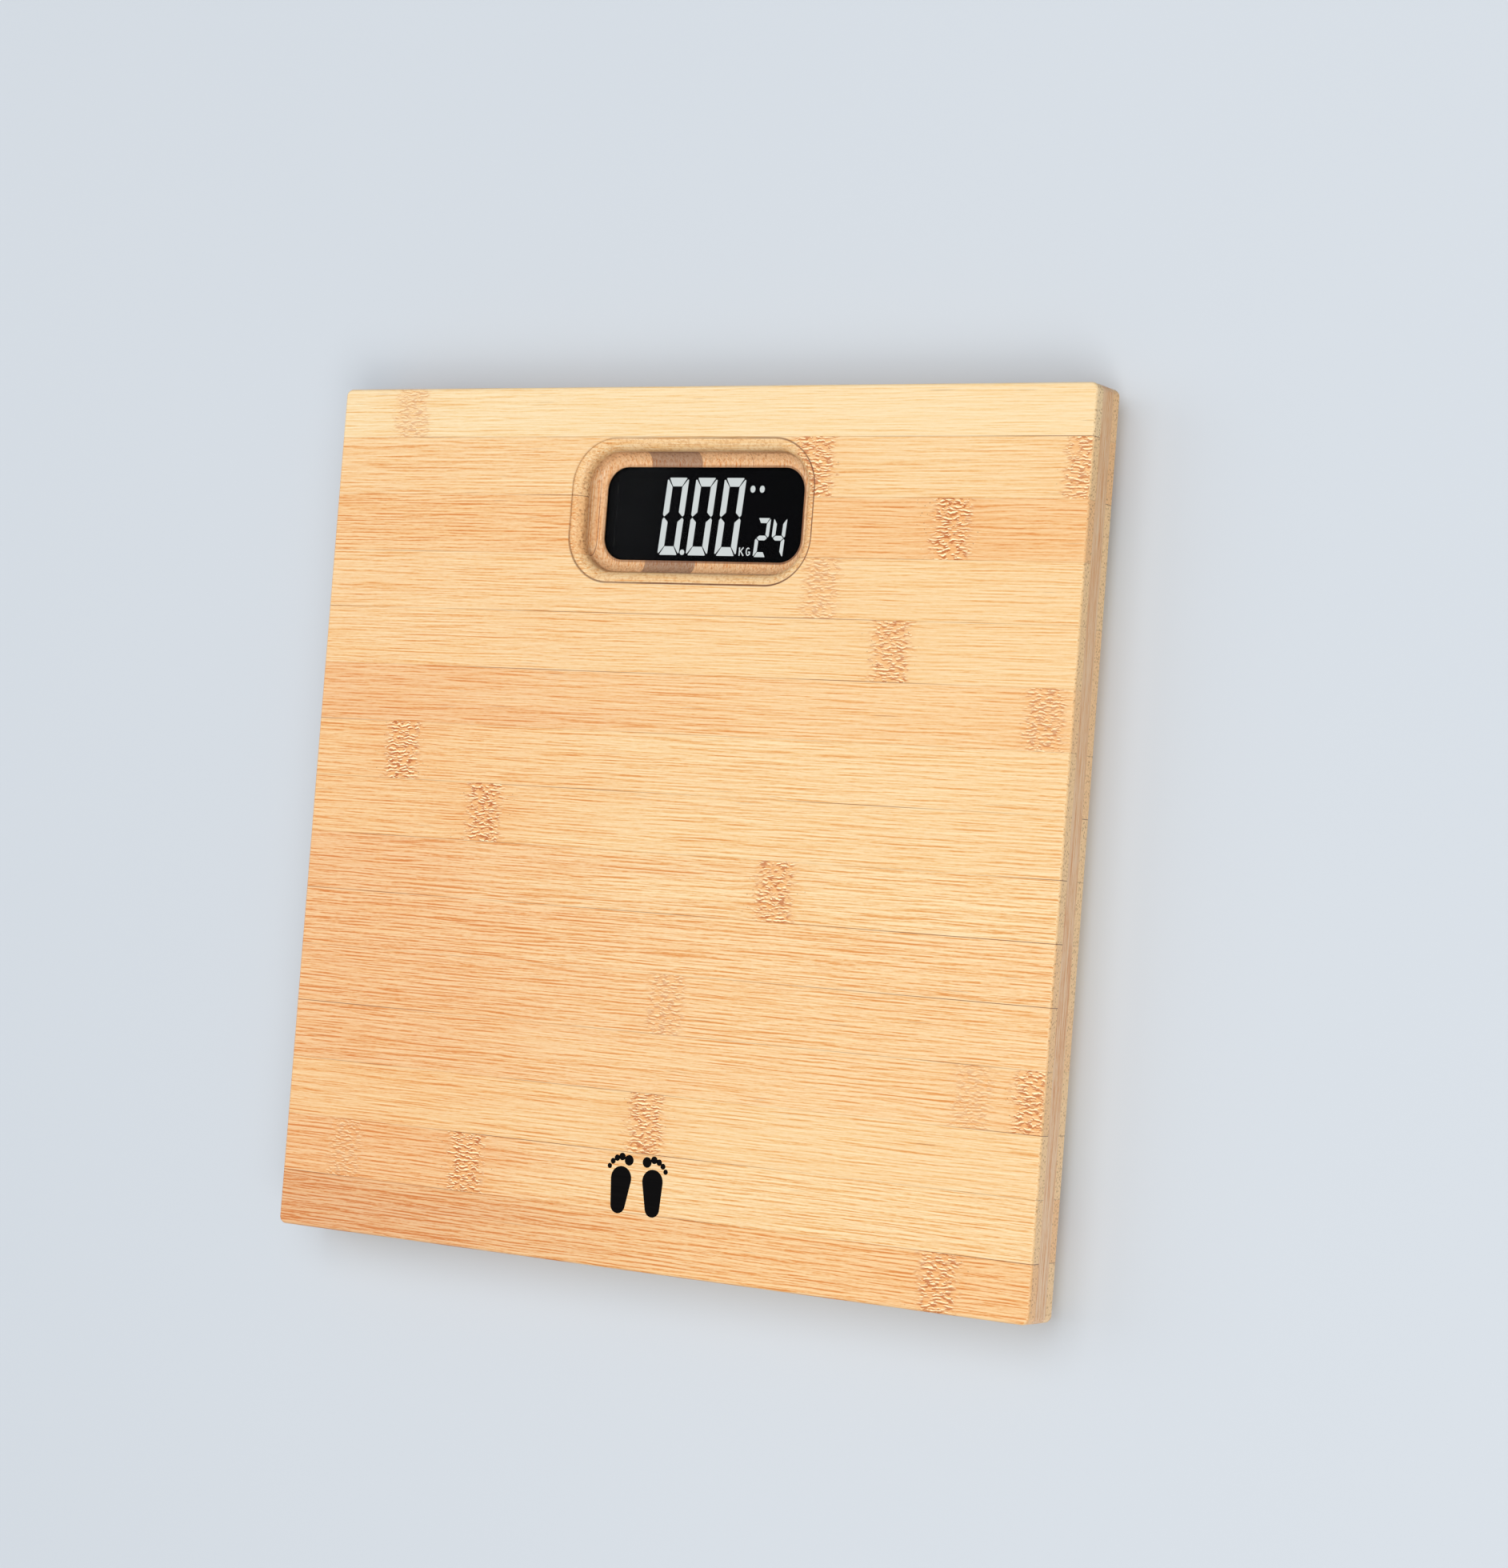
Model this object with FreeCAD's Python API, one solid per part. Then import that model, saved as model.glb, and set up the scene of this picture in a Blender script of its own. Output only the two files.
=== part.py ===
"""Digital bathroom scale: a three-ply bamboo platform on four load-cell feet.

Millimetres. The origin is on the floor under the middle of the platform, +Z is up, and +Y points to the edge
with the display window. A person stands on the platform facing +Y, so -X is their left.
"""
import math
import os

import FreeCAD
import Part

V = FreeCAD.Vector
UP = V(0, 0, 1)
TOUCH = 0.05                      # gap between pieces that bear on each other
PAST = 1.0                        # how far a cutting shape runs past the surface that it opens

# --- Platform: a bamboo board of three plies, the middle one laid crosswise
SIDE = 300.0                      # width and depth
CORNER_R = 2.5                    # corners seen from above
EDGE_R = 1.0                      # eased top and bottom edges
STANDOFF = 8.0                    # floor to the board's underside
BASE_PLY, CORE_PLY, TOP_PLY = 5.0, 7.5, 4.5
Z_BASE = STANDOFF
Z_CORE = Z_BASE + BASE_PLY
Z_FACE = Z_CORE + CORE_PLY        # underside of the top ply
Z_TOP = Z_FACE + TOP_PLY

# --- Display window: an ogee edge, stepped, rounded over, then coved down to the lens
WINDOW_Y = 107.3
LENS_VIEW = (79.2, 32.2, 8.0)     # width, height and corner radius where the lens shows
COVE_WIDTH, COVE_R = 4.7, 4.0     # the hollow half of the edge, in the middle ply
BEAD_WIDTH, BEAD_R = 4.1, 4.0     # the rounded half, in the top ply
RIM_STEP = 0.4
Z_COVE = Z_FACE - COVE_R - 0.1    # foot of the cove
Z_LENS_ROOF = Z_COVE - 0.6        # underside of the lip that the lens hangs from
LIP_R = 0.3

# --- A pair of footprints engraved in the face, near the back edge
PRINT_Y, PRINT_X, PRINT_DEPTH = -121.0, 6.3, 0.15
SOLE_HEEL, SOLE_BALL = (0.6, -7.4, 2.9), (0.0, 1.6, 4.1)      # x, y and radius, for a right foot
TOES = [(-2.7, 7.9, 1.8), (0.1, 8.9, 1.3), (2.1, 8.3, 1.1), (3.7, 7.1, 1.0), (4.9, 5.4, 0.9)]

# --- Display stack, from the lip down
LENS = (87.6, 40.6, 12.0)
GASKET_T, LENS_T, LENS_GAP = 0.3, 1.4, 0.1
Z_LENS_TOP = Z_LENS_ROOF - GASKET_T
Z_LENS = Z_LENS_TOP - LENS_T
Z_LCD_TOP = Z_LENS - LENS_GAP
LCD_T, GUIDE_T, BOARD_T = 1.6, 1.4, 1.2
Z_LCD = Z_LCD_TOP - LCD_T
Z_GUIDE = Z_LCD - GUIDE_T - TOUCH
Z_BOARD_TOP = Z_GUIDE - 0.2
Z_BOARD = Z_BOARD_TOP - BOARD_T
LCD_FRAME = (80.0, 38.0, 1.6)     # width, height and wall
LED_T, LED_LONG, LED_TALL, LED_Y = 1.3, 3.2, 1.2, (-9.0, 0.0, 9.0)
ZEBRA_W, ZEBRA_INSET = 1.8, 4.0   # the rubber strip below the glass, at the frame's lower wall
BOARD = (92.0, 44.0)

# --- Electronics housing, screwed to the underside
HOUSING_X, HOUSING_Y = 62.0, (40.0, 137.0)
Z_TRAY, TRAY_FLOOR, TRAY_WALL = 5.0, 1.8, 2.0
TRAY_R = 8.0
Z_FLOOR = Z_TRAY + TRAY_FLOOR
DISPLAY_BAY = (50.0, 60.0, 131.0)             # half width, then from and to in Y
BATTERY_BAY = (32.0, 47.0, 84.0)
Z_BATTERY_ROOF = 18.6
HOUSING_SCREWS = [(x, y) for x in (-56.0, 56.0) for y in (46.0, 131.0)]
BOARD_SCREWS = [(x, WINDOW_Y + y) for x in (-43.0, 43.0) for y in (-18.8, 18.7)]
BUTTON_XY = (-30.0, 100.0)
BUTTON_R, BUTTON_HOLE_R, BUTTON_FLANGE, BUTTON_PROUD = 3.5, 3.7, 1.4, 0.2
SENSOR_XY, SENSOR_R, SENSOR_DROP = (30.0, 110.0), 1.1, 1.3
BLOB_XY, BLOB_R, BLOB_DOME, BLOB_T = (10.0, 100.0), 6.0, 9.6, 1.4
SWITCH_HALF, SWITCH_T, PLUNGER_R, PLUNGER_OUT = 2.6, 1.5, 1.5, 1.9
VENT_HALF_X, VENT_HALF_Y, VENT_PITCH = 4.0, 0.6, 2.6     # slots in the tray below the sensor

# --- Battery compartment: two AAA cells side by side along X
CELL_R, CELL_BODY, NUB_R, NUB = 5.15, 43.6, 1.9, 0.9
CELL_Z = 12.0
TROUGH_X, TROUGH_Y, TROUGH_WALL = 26.0, (52.0, 75.5), 1.4
TROUGH_MID_Y = sum(TROUGH_Y) / 2
CELL_PITCH = 11.7
Z_TROUGH, Z_TROUGH_TOP, TROUGH_ROOF, COLLAR_W = 6.7, 17.3, 1.0, 1.9
BOSS_SCREW_R, POST_R = 4.4, 2.4               # the tray's bosses for its own screws and the board's
DOOR_T, DOOR_GAP = 1.6, 0.3
DOOR_X = TROUGH_X + TROUGH_WALL
DOOR_Y = (TROUGH_Y[0] - TROUGH_WALL, TROUGH_Y[1] + TROUGH_WALL)
HINGE_X, HINGE_Z = -DOOR_X + DOOR_T / 2, Z_TRAY + DOOR_T / 2
HINGE_PIN_R, HINGE_PIN = 0.5, 1.3
LATCH_HALF, LATCH_LONG, LATCH_SLOT, LATCH_DENT = 6.0, 11.0, 0.8, 5.0
NOSE_HALF, NOSE_T = 4.5, 0.7
GRIP_X, GRIP_W, GRIP_HALF, GRIP_PROUD = (20.4, 22.4, 24.4), 0.9, 4.0, 0.3
BATTERY_LEAD_X = {-1: -30.9, 1: -29.6}        # by the cell's side: the positive lead, then the negative
TAIL_W = 1.2                                  # half width of a contact's tail
CELL_INSET = 1.1                              # from the end wall to a cell's nub
CONTACT_T, PLATE_HALF = 0.3, 4.5
SPRING_WIRE_R, SPRING_WIDE, SPRING_TAPER, SPRING_HALF_TURNS = 0.3, 3.6, 1.0, 7

# --- Feet: one load cell in each corner
FOOT_XY = 110.0
POCKET_R, Z_POCKET = 29.0, 15.5
CELL_SIDE, CELL_T, Z_CELL = 34.0, 2.0, 12.0
TONGUE_TIP, TONGUE_ROOT, TONGUE_HALF, SLOT_W = -10.4, 7.0, 6.8, 1.6
RELIEF_X, RELIEF_Y, RELIEF_W = (-7.0, 11.0), 12.2, 1.6
RIVET_XY, RIVET_R = 14.0, 1.3     # holes in the load cell's frame
SEAL_X, SEAL_HALF, SEAL_T = (6.6, 13.4), 3.4, 1.4
CUP_R, Z_CUP, CUP_BORE = 28.6, 10.0, 10.0
RING_R, RING_T = 33.0, 1.6
Z_RING = Z_BASE - RING_T
LUG_R, LUG_AT = 5.0, 35.0
LUG_REACH = LUG_AT * math.sqrt(0.5)
LUG_CORNERS = [(i * LUG_REACH, j * LUG_REACH) for i in (-1, 1) for j in (-1, 1)]
LIP_BORE, FLANGE_BORE, LIP_T = 18.5, 20.6, 1.0
FOOT_R, FLANGE_R, BOSS_R = 18.0, 20.1, 5.0
FOOT_DROP = 0.8                   # how far a foot hangs down when the scale is lifted
Z_FLANGE = Z_RING + LIP_T + FOOT_DROP + 0.1
FLANGE_T = 1.5
FOOT_WALL, FOOT_FLOOR, BOSS_WALL = 1.8, 1.4, 1.6
PAD_R, PAD_T, PAD_SUNK = 15.5, 2.8, 1.5
TREAD_R, TREAD_W, TREAD_DEPTH = (5.0, 9.0, 12.6), 0.8, 0.6    # ring grooves in the pad's sole
RIBS, RIB_T = 6, 1.4

# --- Leads and the grooves that hold them
GROOVE_W, GROOVE_DEPTH, COVER_T = 6.0, 4.0, 1.0
COVER_W = GROOVE_W - 0.2
LEAD_R, LEAD_PITCH, LEAD_Z = 0.5, 1.3, 11.3
REAR_RUN_Y, REAR_BEND, REAR_END_X = 70.0, 12.0, 37.0
LEAD_END_Y = 87.3

# --- Screws
SCREW_R, PILOT_R, SCREW_HOLE_R, HEAD_R, HEAD_T, SCREW_LONG = 1.35, 1.4, 1.6, 2.7, 1.6, 7.2

# Each foot: its corner, and the heading of its lead as it leaves, in degrees
FEET = {
    "front_left": (-FOOT_XY, FOOT_XY, 0.0),
    "front_right": (FOOT_XY, FOOT_XY, 180.0),
    "rear_left": (-FOOT_XY, -FOOT_XY, 90.0),
    "rear_right": (FOOT_XY, -FOOT_XY, 90.0),
}


# ---------------------------------------------------------------- shapes
def slab(x0, x1, y0, y1, z0, z1, r=0.0):
    """An upright block, with its vertical corners rounded to r."""
    block = Part.makeBox(x1 - x0, y1 - y0, z1 - z0, V(x0, y0, z0))
    if r:
        block = block.makeFillet(r, [e for e in block.Edges if e.BoundBox.ZLength > 0.9 * (z1 - z0)])
    return block


def centred(size, z0, z1, at=(0.0, 0.0)):
    """An upright block of size (width, height, corner radius), centred on a point."""
    (w, h, r), (x, y) = size, at
    return slab(x - w / 2, x + w / 2, y - h / 2, y + h / 2, z0, z1, r)


def disc(r, z0, z1, x=0.0, y=0.0):
    return Part.makeCylinder(r, z1 - z0, V(x, y, z0))


def grown(size, by):
    """A rounded rectangle's size with its outline moved outwards."""
    w, h, r = size
    return (w + 2 * by, h + 2 * by, r + by)


def edges_at(shape, z, outline=None):
    """The edges in the plane z: all of them, or those along a window outline of a given size."""
    def lies(e):
        b = e.BoundBox
        if abs(b.ZMin - z) > 1e-3 or abs(b.ZMax - z) > 1e-3:
            return False
        if outline is None:
            return True
        x, y = outline[0] / 2 + 0.1, outline[1] / 2 + 0.1
        return b.XMin > -x and b.XMax < x and b.YMin > WINDOW_Y - y and b.YMax < WINDOW_Y + y
    return [e for e in shape.Edges if lies(e)]


def joined(shapes):
    first, *rest = shapes
    return first.fuse(rest).removeSplitter() if rest else first


def placed(shape, x, y, turn=0.0):
    """A copy turned about +Z, then moved to x, y."""
    copy = shape.copy()
    copy.Placement = FreeCAD.Placement(V(x, y, 0), FreeCAD.Rotation(UP, turn)).multiply(shape.Placement)
    return copy


# ---------------------------------------------------------------- routes of grooves and leads
def left_of(a, b):
    d = (b - a).normalize()
    return V(-d.y, d.x, 0)


def shifted(points, by):
    """A flat route moved to its own left by a distance."""
    out = [points[0] + left_of(points[0], points[1]) * by]
    for a, p, b in zip(points, points[1:], points[2:]):
        n, m = left_of(a, p), left_of(p, b)
        out.append(p + (n + m) * (by / (1 + n.dot(m))))
    out.append(points[-1] + left_of(points[-2], points[-1]) * by)
    return out


def rounded_route(points, radius, by=0.0):
    """A flat wire along points, moved left by a distance, its corners turned into tangent arcs."""
    moved = shifted(points, by)
    edges, start = [], moved[0]
    for a, p, b in zip(moved, moved[1:], moved[2:]):
        into, out = (p - a).normalize(), (b - p).normalize()
        side = 1 if into.cross(out).z > 0 else -1
        r = radius - side * by
        turn = into.getAngle(out)
        begin, end = p - into * (r * math.tan(turn / 2)), p + out * (r * math.tan(turn / 2))
        centre = begin + V(-into.y, into.x, 0) * (side * r)
        middle = centre + (p - centre).normalize() * r
        edges += [Part.LineSegment(start, begin).toShape(), Part.Arc(begin, middle, end).toShape()]
        start = end
    edges.append(Part.LineSegment(start, moved[-1]).toShape())
    return Part.Wire(edges)


def channel(points, radius, width, z0, z1):
    """A bar of rectangular section along a flat route."""
    route = rounded_route([V(p.x, p.y, z0) for p in points], radius)
    n = left_of(points[0], points[1])
    a = V(points[0].x, points[0].y, z0)
    corners = [a + n * (width / 2), a - n * (width / 2)]
    corners += [corners[1] + UP * (z1 - z0), corners[0] + UP * (z1 - z0)]
    return route.makePipeShell([Part.makePolygon(corners + corners[:1])], True, False)


def round_lead(points, radius, by=0.0):
    """One insulated wire along a flat route."""
    route = rounded_route(points, radius, by)
    start, heading = route.Edges[0].Vertexes[0].Point, points[1] - points[0]
    ring = Part.Wire(Part.makeCircle(LEAD_R, start, heading))
    return route.makePipeShell([ring], True, False)


def lead_route(name, z, start, end_y=LEAD_END_Y):
    """The way from a foot to the electronics bay, starting a distance from the foot's axis."""
    x, y, _ = FEET[name]
    side = math.copysign(1, x)
    if name.startswith("front"):
        return [V(x - side * start, y, z), V(side * 41.0, y, z)]
    return [V(x, y + start, z), V(x, REAR_RUN_Y, z), V(side * REAR_END_X, REAR_RUN_Y, z),
            V(side * REAR_END_X, end_y, z)]


def groove_route(name, start):
    """The lead's route as far as the electronics bay's side."""
    points = lead_route(name, 0, start)
    end_x = math.copysign(DISPLAY_BAY[0], points[0].x)
    if name.startswith("front"):
        return [points[0], V(end_x, points[1].y, 0)]
    return [points[0], points[1], V(end_x, REAR_RUN_Y, 0)]


# ---------------------------------------------------------------- screws
def pan_screw(head_z, shank_r=SCREW_R, head_r=HEAD_R, head_t=HEAD_T, long=SCREW_LONG):
    """A cross-recess screw driven upwards, with the bearing face of its head at head_z."""
    head = disc(head_r, head_z - head_t, head_z)
    head = head.makeFillet(head_t * 0.45, edges_at(head, head_z - head_t))
    tip = Part.makeCone(shank_r, shank_r * 0.25, long * 0.2, V(0, 0, head_z + long * 0.8))
    screw = joined([head, disc(shank_r, head_z, head_z + long * 0.8), tip])
    half, slot, deep = head_r * 0.62, head_r * 0.13, head_t * 0.6
    floor = head_z - head_t - 1
    for a, b in ((half, slot), (slot, half)):
        screw = screw.cut(slab(-a, a, -b, b, floor, floor + 1 + deep))
    return screw


def at_each(shape, places):
    """One compound of separate copies."""
    return Part.makeCompound([placed(shape, x, y) for x, y in places])


def foot_screw_places():
    return [(x + i, y + j) for x, y, _ in FEET.values() for i, j in LUG_CORNERS]


# ---------------------------------------------------------------- platform
def bay(spec, z1):
    half, y0, y1 = spec
    return slab(-half, half, y0, y1, Z_BASE - PAST, z1, 3.0)


def underside_cuts():
    """Everything milled into the board from below."""
    cuts = [bay(DISPLAY_BAY, Z_LENS_ROOF), bay(BATTERY_BAY, Z_BATTERY_ROOF)]
    for name, (x, y, _) in FEET.items():
        cuts.append(disc(POCKET_R, Z_BASE - PAST, Z_POCKET, x, y))
        cuts.append(channel(groove_route(name, POCKET_R - 4), REAR_BEND, GROOVE_W,
                            Z_BASE - PAST, Z_BASE + GROOVE_DEPTH))
    for x, y in foot_screw_places():
        cuts.append(disc(PILOT_R, Z_BASE - PAST, Z_RING + SCREW_LONG + 0.4, x, y))
    for x, y in HOUSING_SCREWS:
        cuts.append(disc(PILOT_R, Z_BASE - PAST, Z_FLOOR + SCREW_LONG + 0.5, x, y))
    return cuts


def ply(z0, z1):
    return slab(-SIDE / 2, SIDE / 2, -SIDE / 2, SIDE / 2, z0, z1, CORNER_R)


def window(size, z0, z1):
    return centred(size, z0, z1, (0.0, WINDOW_Y))


def hull_of_discs(a, b, z0, z1):
    """Two upright discs, each (x, y, r), and what their outer tangents enclose."""
    (ax, ay, ar), (bx, by, br) = a, b
    heading = math.atan2(by - ay, bx - ax)
    lean = math.acos((ar - br) / math.hypot(bx - ax, by - ay))
    corners = []
    for x, y, r, turns in ((ax, ay, ar, (1, -1)), (bx, by, br, (-1, 1))):
        for turn in turns:
            angle = heading + turn * lean
            corners.append(V(x + r * math.cos(angle), y + r * math.sin(angle), z0))
    web = Part.Face(Part.makePolygon(corners + corners[:1])).extrude(UP * (z1 - z0))
    return joined([disc(ar, z0, z1, ax, ay), web, disc(br, z0, z1, bx, by)])


def footprints():
    """What the engraving takes out: a right foot's sole and toes, and the same mirrored."""
    z0, z1 = Z_TOP - PRINT_DEPTH, Z_TOP + PAST
    pieces = [hull_of_discs(SOLE_HEEL, SOLE_BALL, z0, z1)]
    pieces += [disc(r, z0, z1, x, y) for x, y, r in TOES]
    right = [placed(piece, PRINT_X, PRINT_Y) for piece in pieces]
    return right + [piece.mirror(V(0, 0, 0), V(1, 0, 0)) for piece in right]


def platform():
    at_cove = grown(LENS_VIEW, COVE_WIDTH)
    at_rim = grown(at_cove, BEAD_WIDTH)
    cuts = underside_cuts()

    top = ply(Z_FACE, Z_TOP)
    top = top.makeFillet(EDGE_R, edges_at(top, Z_TOP))
    top = top.cut(window(at_cove, Z_FACE - PAST, Z_TOP + PAST))
    top = top.cut(window(at_rim, Z_TOP - RIM_STEP, Z_TOP + PAST))
    top = top.makeFillet(BEAD_R, edges_at(top, Z_TOP - RIM_STEP, at_cove)).cut(footprints())

    core = ply(Z_CORE, Z_FACE).cut(window(at_cove, Z_COVE, Z_FACE + PAST))
    core = core.makeFillet(COVE_R, edges_at(core, Z_COVE, at_cove))
    core = core.cut(window(LENS_VIEW, Z_CORE - PAST, Z_FACE))
    core = core.makeFillet(LIP_R, edges_at(core, Z_COVE, LENS_VIEW))
    core = core.cut(cuts)

    base = ply(Z_BASE, Z_CORE)
    base = base.makeFillet(EDGE_R, edges_at(base, Z_BASE)).cut(cuts)
    return {"top_ply": top, "core_ply": core, "base_ply": base}


# ---------------------------------------------------------------- feet
def cell_cup():
    """The upper half of a foot's holder: it bears on the board and on the load cell's frame."""
    half = CELL_SIDE / 2 + 0.3
    cup = disc(CUP_R, Z_CUP, Z_POCKET)
    cup = cup.cut([
        slab(-half, half, -half, half, Z_CUP - PAST, Z_CELL + CELL_T, 1.0),
        disc(CUP_BORE, Z_CELL, Z_POCKET + PAST),
        slab(half - 1, CUP_R + PAST, -GROOVE_W / 2, GROOVE_W / 2, Z_CUP - PAST, Z_CELL + 0.6),
    ])
    return cup.makeChamfer(0.6, [e for e in edges_at(cup, Z_POCKET) if e.BoundBox.XLength > 50])


def retainer_ring():
    """The lower half of the holder: a flange on the underside, with a lip that keeps the foot in."""
    lugs = [disc(LUG_R, Z_RING, Z_BASE, x, y) for x, y in LUG_CORNERS]
    flange = joined([disc(RING_R, Z_RING, Z_BASE)] + lugs)
    flange = flange.makeFillet(0.5, edges_at(flange, Z_RING))
    half = CELL_SIDE / 2
    posts = slab(-half, half, -half, half, Z_CUP, Z_CELL - TOUCH, 1.0)
    posts = posts.cut(disc(FLANGE_BORE, Z_CUP - PAST, Z_CELL))
    ring = joined([flange, disc(CUP_R, Z_BASE, Z_CUP)])
    ring = ring.cut(disc(LIP_BORE, Z_RING - PAST, Z_CUP + PAST))
    ring = ring.cut(disc(FLANGE_BORE, Z_RING + LIP_T, Z_CUP + PAST))
    ring = ring.cut([disc(SCREW_HOLE_R, Z_RING - PAST, Z_CUP, x, y) for x, y in LUG_CORNERS])
    return joined([ring, posts])


def load_cell():
    """A steel plate whose tongue, cut free on three sides, bends as the foot pushes on it."""
    half, z1 = CELL_SIDE / 2, Z_CELL + CELL_T
    plate = slab(-half, half, -half, half, Z_CELL, z1, 2.0)
    wide = TONGUE_HALF + SLOT_W
    below, above = Z_CELL - PAST, z1 + PAST
    slot = slab(TONGUE_TIP - SLOT_W, TONGUE_ROOT, -wide, wide, below, above, 2.0)
    tongue = slab(TONGUE_TIP, TONGUE_ROOT + PAST, -TONGUE_HALF, TONGUE_HALF, below, above, 1.0)
    cuts = [slot.cut(tongue)]
    for side in (-1, 1):
        low, high = side * RELIEF_Y - RELIEF_W / 2, side * RELIEF_Y + RELIEF_W / 2
        cuts.append(slab(*RELIEF_X, low, high, below, above, 0.7))
        cuts.append(disc(RIVET_R, below, above, -RIVET_XY, side * RIVET_XY))
    return plate.cut(cuts)


def gauge_seal():
    """Silicone over the strain gauge at the tongue's root, on the underside, where the lead begins."""
    seal = slab(*SEAL_X, -SEAL_HALF, SEAL_HALF, Z_CELL - SEAL_T, Z_CELL, 1.5)
    return seal.makeFillet(0.5, edges_at(seal, Z_CELL - SEAL_T))


def foot():
    z_sole = PAD_T - PAD_SUNK
    z_flange_top = Z_FLANGE + FLANGE_T
    body = joined([disc(FOOT_R, z_sole, Z_FLANGE), disc(FLANGE_R, Z_FLANGE, z_flange_top)])
    body = body.makeFillet(0.8, edges_at(body, z_sole))
    hollow = disc(FOOT_R - FOOT_WALL, PAD_T + FOOT_FLOOR, z_flange_top + PAST)
    hollow = hollow.cut(disc(BOSS_R + BOSS_WALL, 0, z_flange_top + 2 * PAST))
    ribs = [placed(slab(0, FOOT_R, -RIB_T / 2, RIB_T / 2, 0, z_flange_top), 0, 0, 360 / RIBS * i)
            for i in range(RIBS)]
    body = body.cut(hollow.cut(ribs)).cut(disc(PAD_R + 0.1, 0, PAD_T))
    boss = disc(BOSS_R, z_flange_top - PAST, Z_CELL - TOUCH)
    boss = boss.makeFillet(1.2, edges_at(boss, Z_CELL - TOUCH))
    return joined([body, boss])


def foot_pad():
    """A rubber pad sunk in the foot, with ring grooves in its sole."""
    pad = disc(PAD_R, 0, PAD_T)
    pad = pad.makeFillet(0.6, edges_at(pad, 0))
    for r in TREAD_R:
        pad = pad.cut(disc(r + TREAD_W, -PAST, TREAD_DEPTH).cut(disc(r, -2 * PAST, PAST)))
    return pad


def cell_lead(name):
    """The three wires of one load cell, side by side."""
    route = lead_route(name, LEAD_Z, 13.4)
    return Part.makeCompound([round_lead(route, REAR_BEND, by) for by in (-LEAD_PITCH, 0, LEAD_PITCH)])


def wire_cover(name):
    """A strip pressed into the mouth of a groove."""
    return channel(groove_route(name, POCKET_R + 0.5), REAR_BEND, COVER_W, Z_BASE, Z_BASE + COVER_T)


def feet():
    kinds = {"cell_cup": cell_cup(), "retainer_ring": retainer_ring(), "load_cell": load_cell(),
             "gauge_seal": gauge_seal(), "foot": foot(), "foot_pad": foot_pad()}
    nodes = {}
    for name, (x, y, heading) in FEET.items():
        for kind, shape in kinds.items():
            nodes[f"{kind}_{name}"] = placed(shape, x, y, heading)
        nodes[f"cell_lead_{name}"] = cell_lead(name)
        nodes[f"wire_cover_{name}"] = wire_cover(name)
    nodes["foot_screws"] = at_each(pan_screw(Z_RING), foot_screw_places())
    return nodes


# ---------------------------------------------------------------- display
def display():
    middle = (0.0, WINDOW_Y)
    lens = centred(LENS, Z_LENS, Z_LENS_TOP, middle)
    gasket = centred(LENS, Z_LENS_TOP, Z_LENS_ROOF, middle).cut(
        window(grown(LENS_VIEW, 0.6), Z_LENS_TOP - PAST, Z_LENS_ROOF + PAST))
    width, height, wall = LCD_FRAME
    inner = (width - 2 * wall, height - 2 * wall)
    frame = centred((width, height, 2.0), Z_BOARD_TOP, Z_LCD_TOP, middle).cut(
        centred((*inner, 0.0), Z_BOARD_TOP - PAST, Z_LCD_TOP + PAST, middle))
    left, right = -inner[0] / 2, inner[0] / 2
    low, high = WINDOW_Y - inner[1] / 2, WINDOW_Y + inner[1] / 2
    slack = 0.2
    led_end, zebra_top = left + slack + LED_T, low + slack + TOUCH * 2 + ZEBRA_W
    panel = slab(led_end + TOUCH * 2, right - TOUCH, low + TOUCH, high - TOUCH, Z_LCD, Z_LCD_TOP)
    guide = slab(led_end + 0.5, right - slack, zebra_top + 0.5, high - slack, Z_GUIDE, Z_GUIDE + GUIDE_T)
    leds = [slab(left + slack, led_end, WINDOW_Y + y - LED_LONG / 2, WINDOW_Y + y + LED_LONG / 2,
                 Z_BOARD_TOP, Z_BOARD_TOP + LED_TALL) for y in LED_Y]
    zebra = slab(left + ZEBRA_INSET, right - ZEBRA_INSET, zebra_top - ZEBRA_W, zebra_top,
                 Z_BOARD_TOP, Z_LCD, 0.4)
    return {
        "display_lens": lens, "lens_gasket": gasket, "lcd_frame": frame, "lcd_panel": panel,
        "backlight_guide": guide, "backlight_leds": Part.makeCompound(leds), "zebra_connector": zebra,
    }


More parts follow.
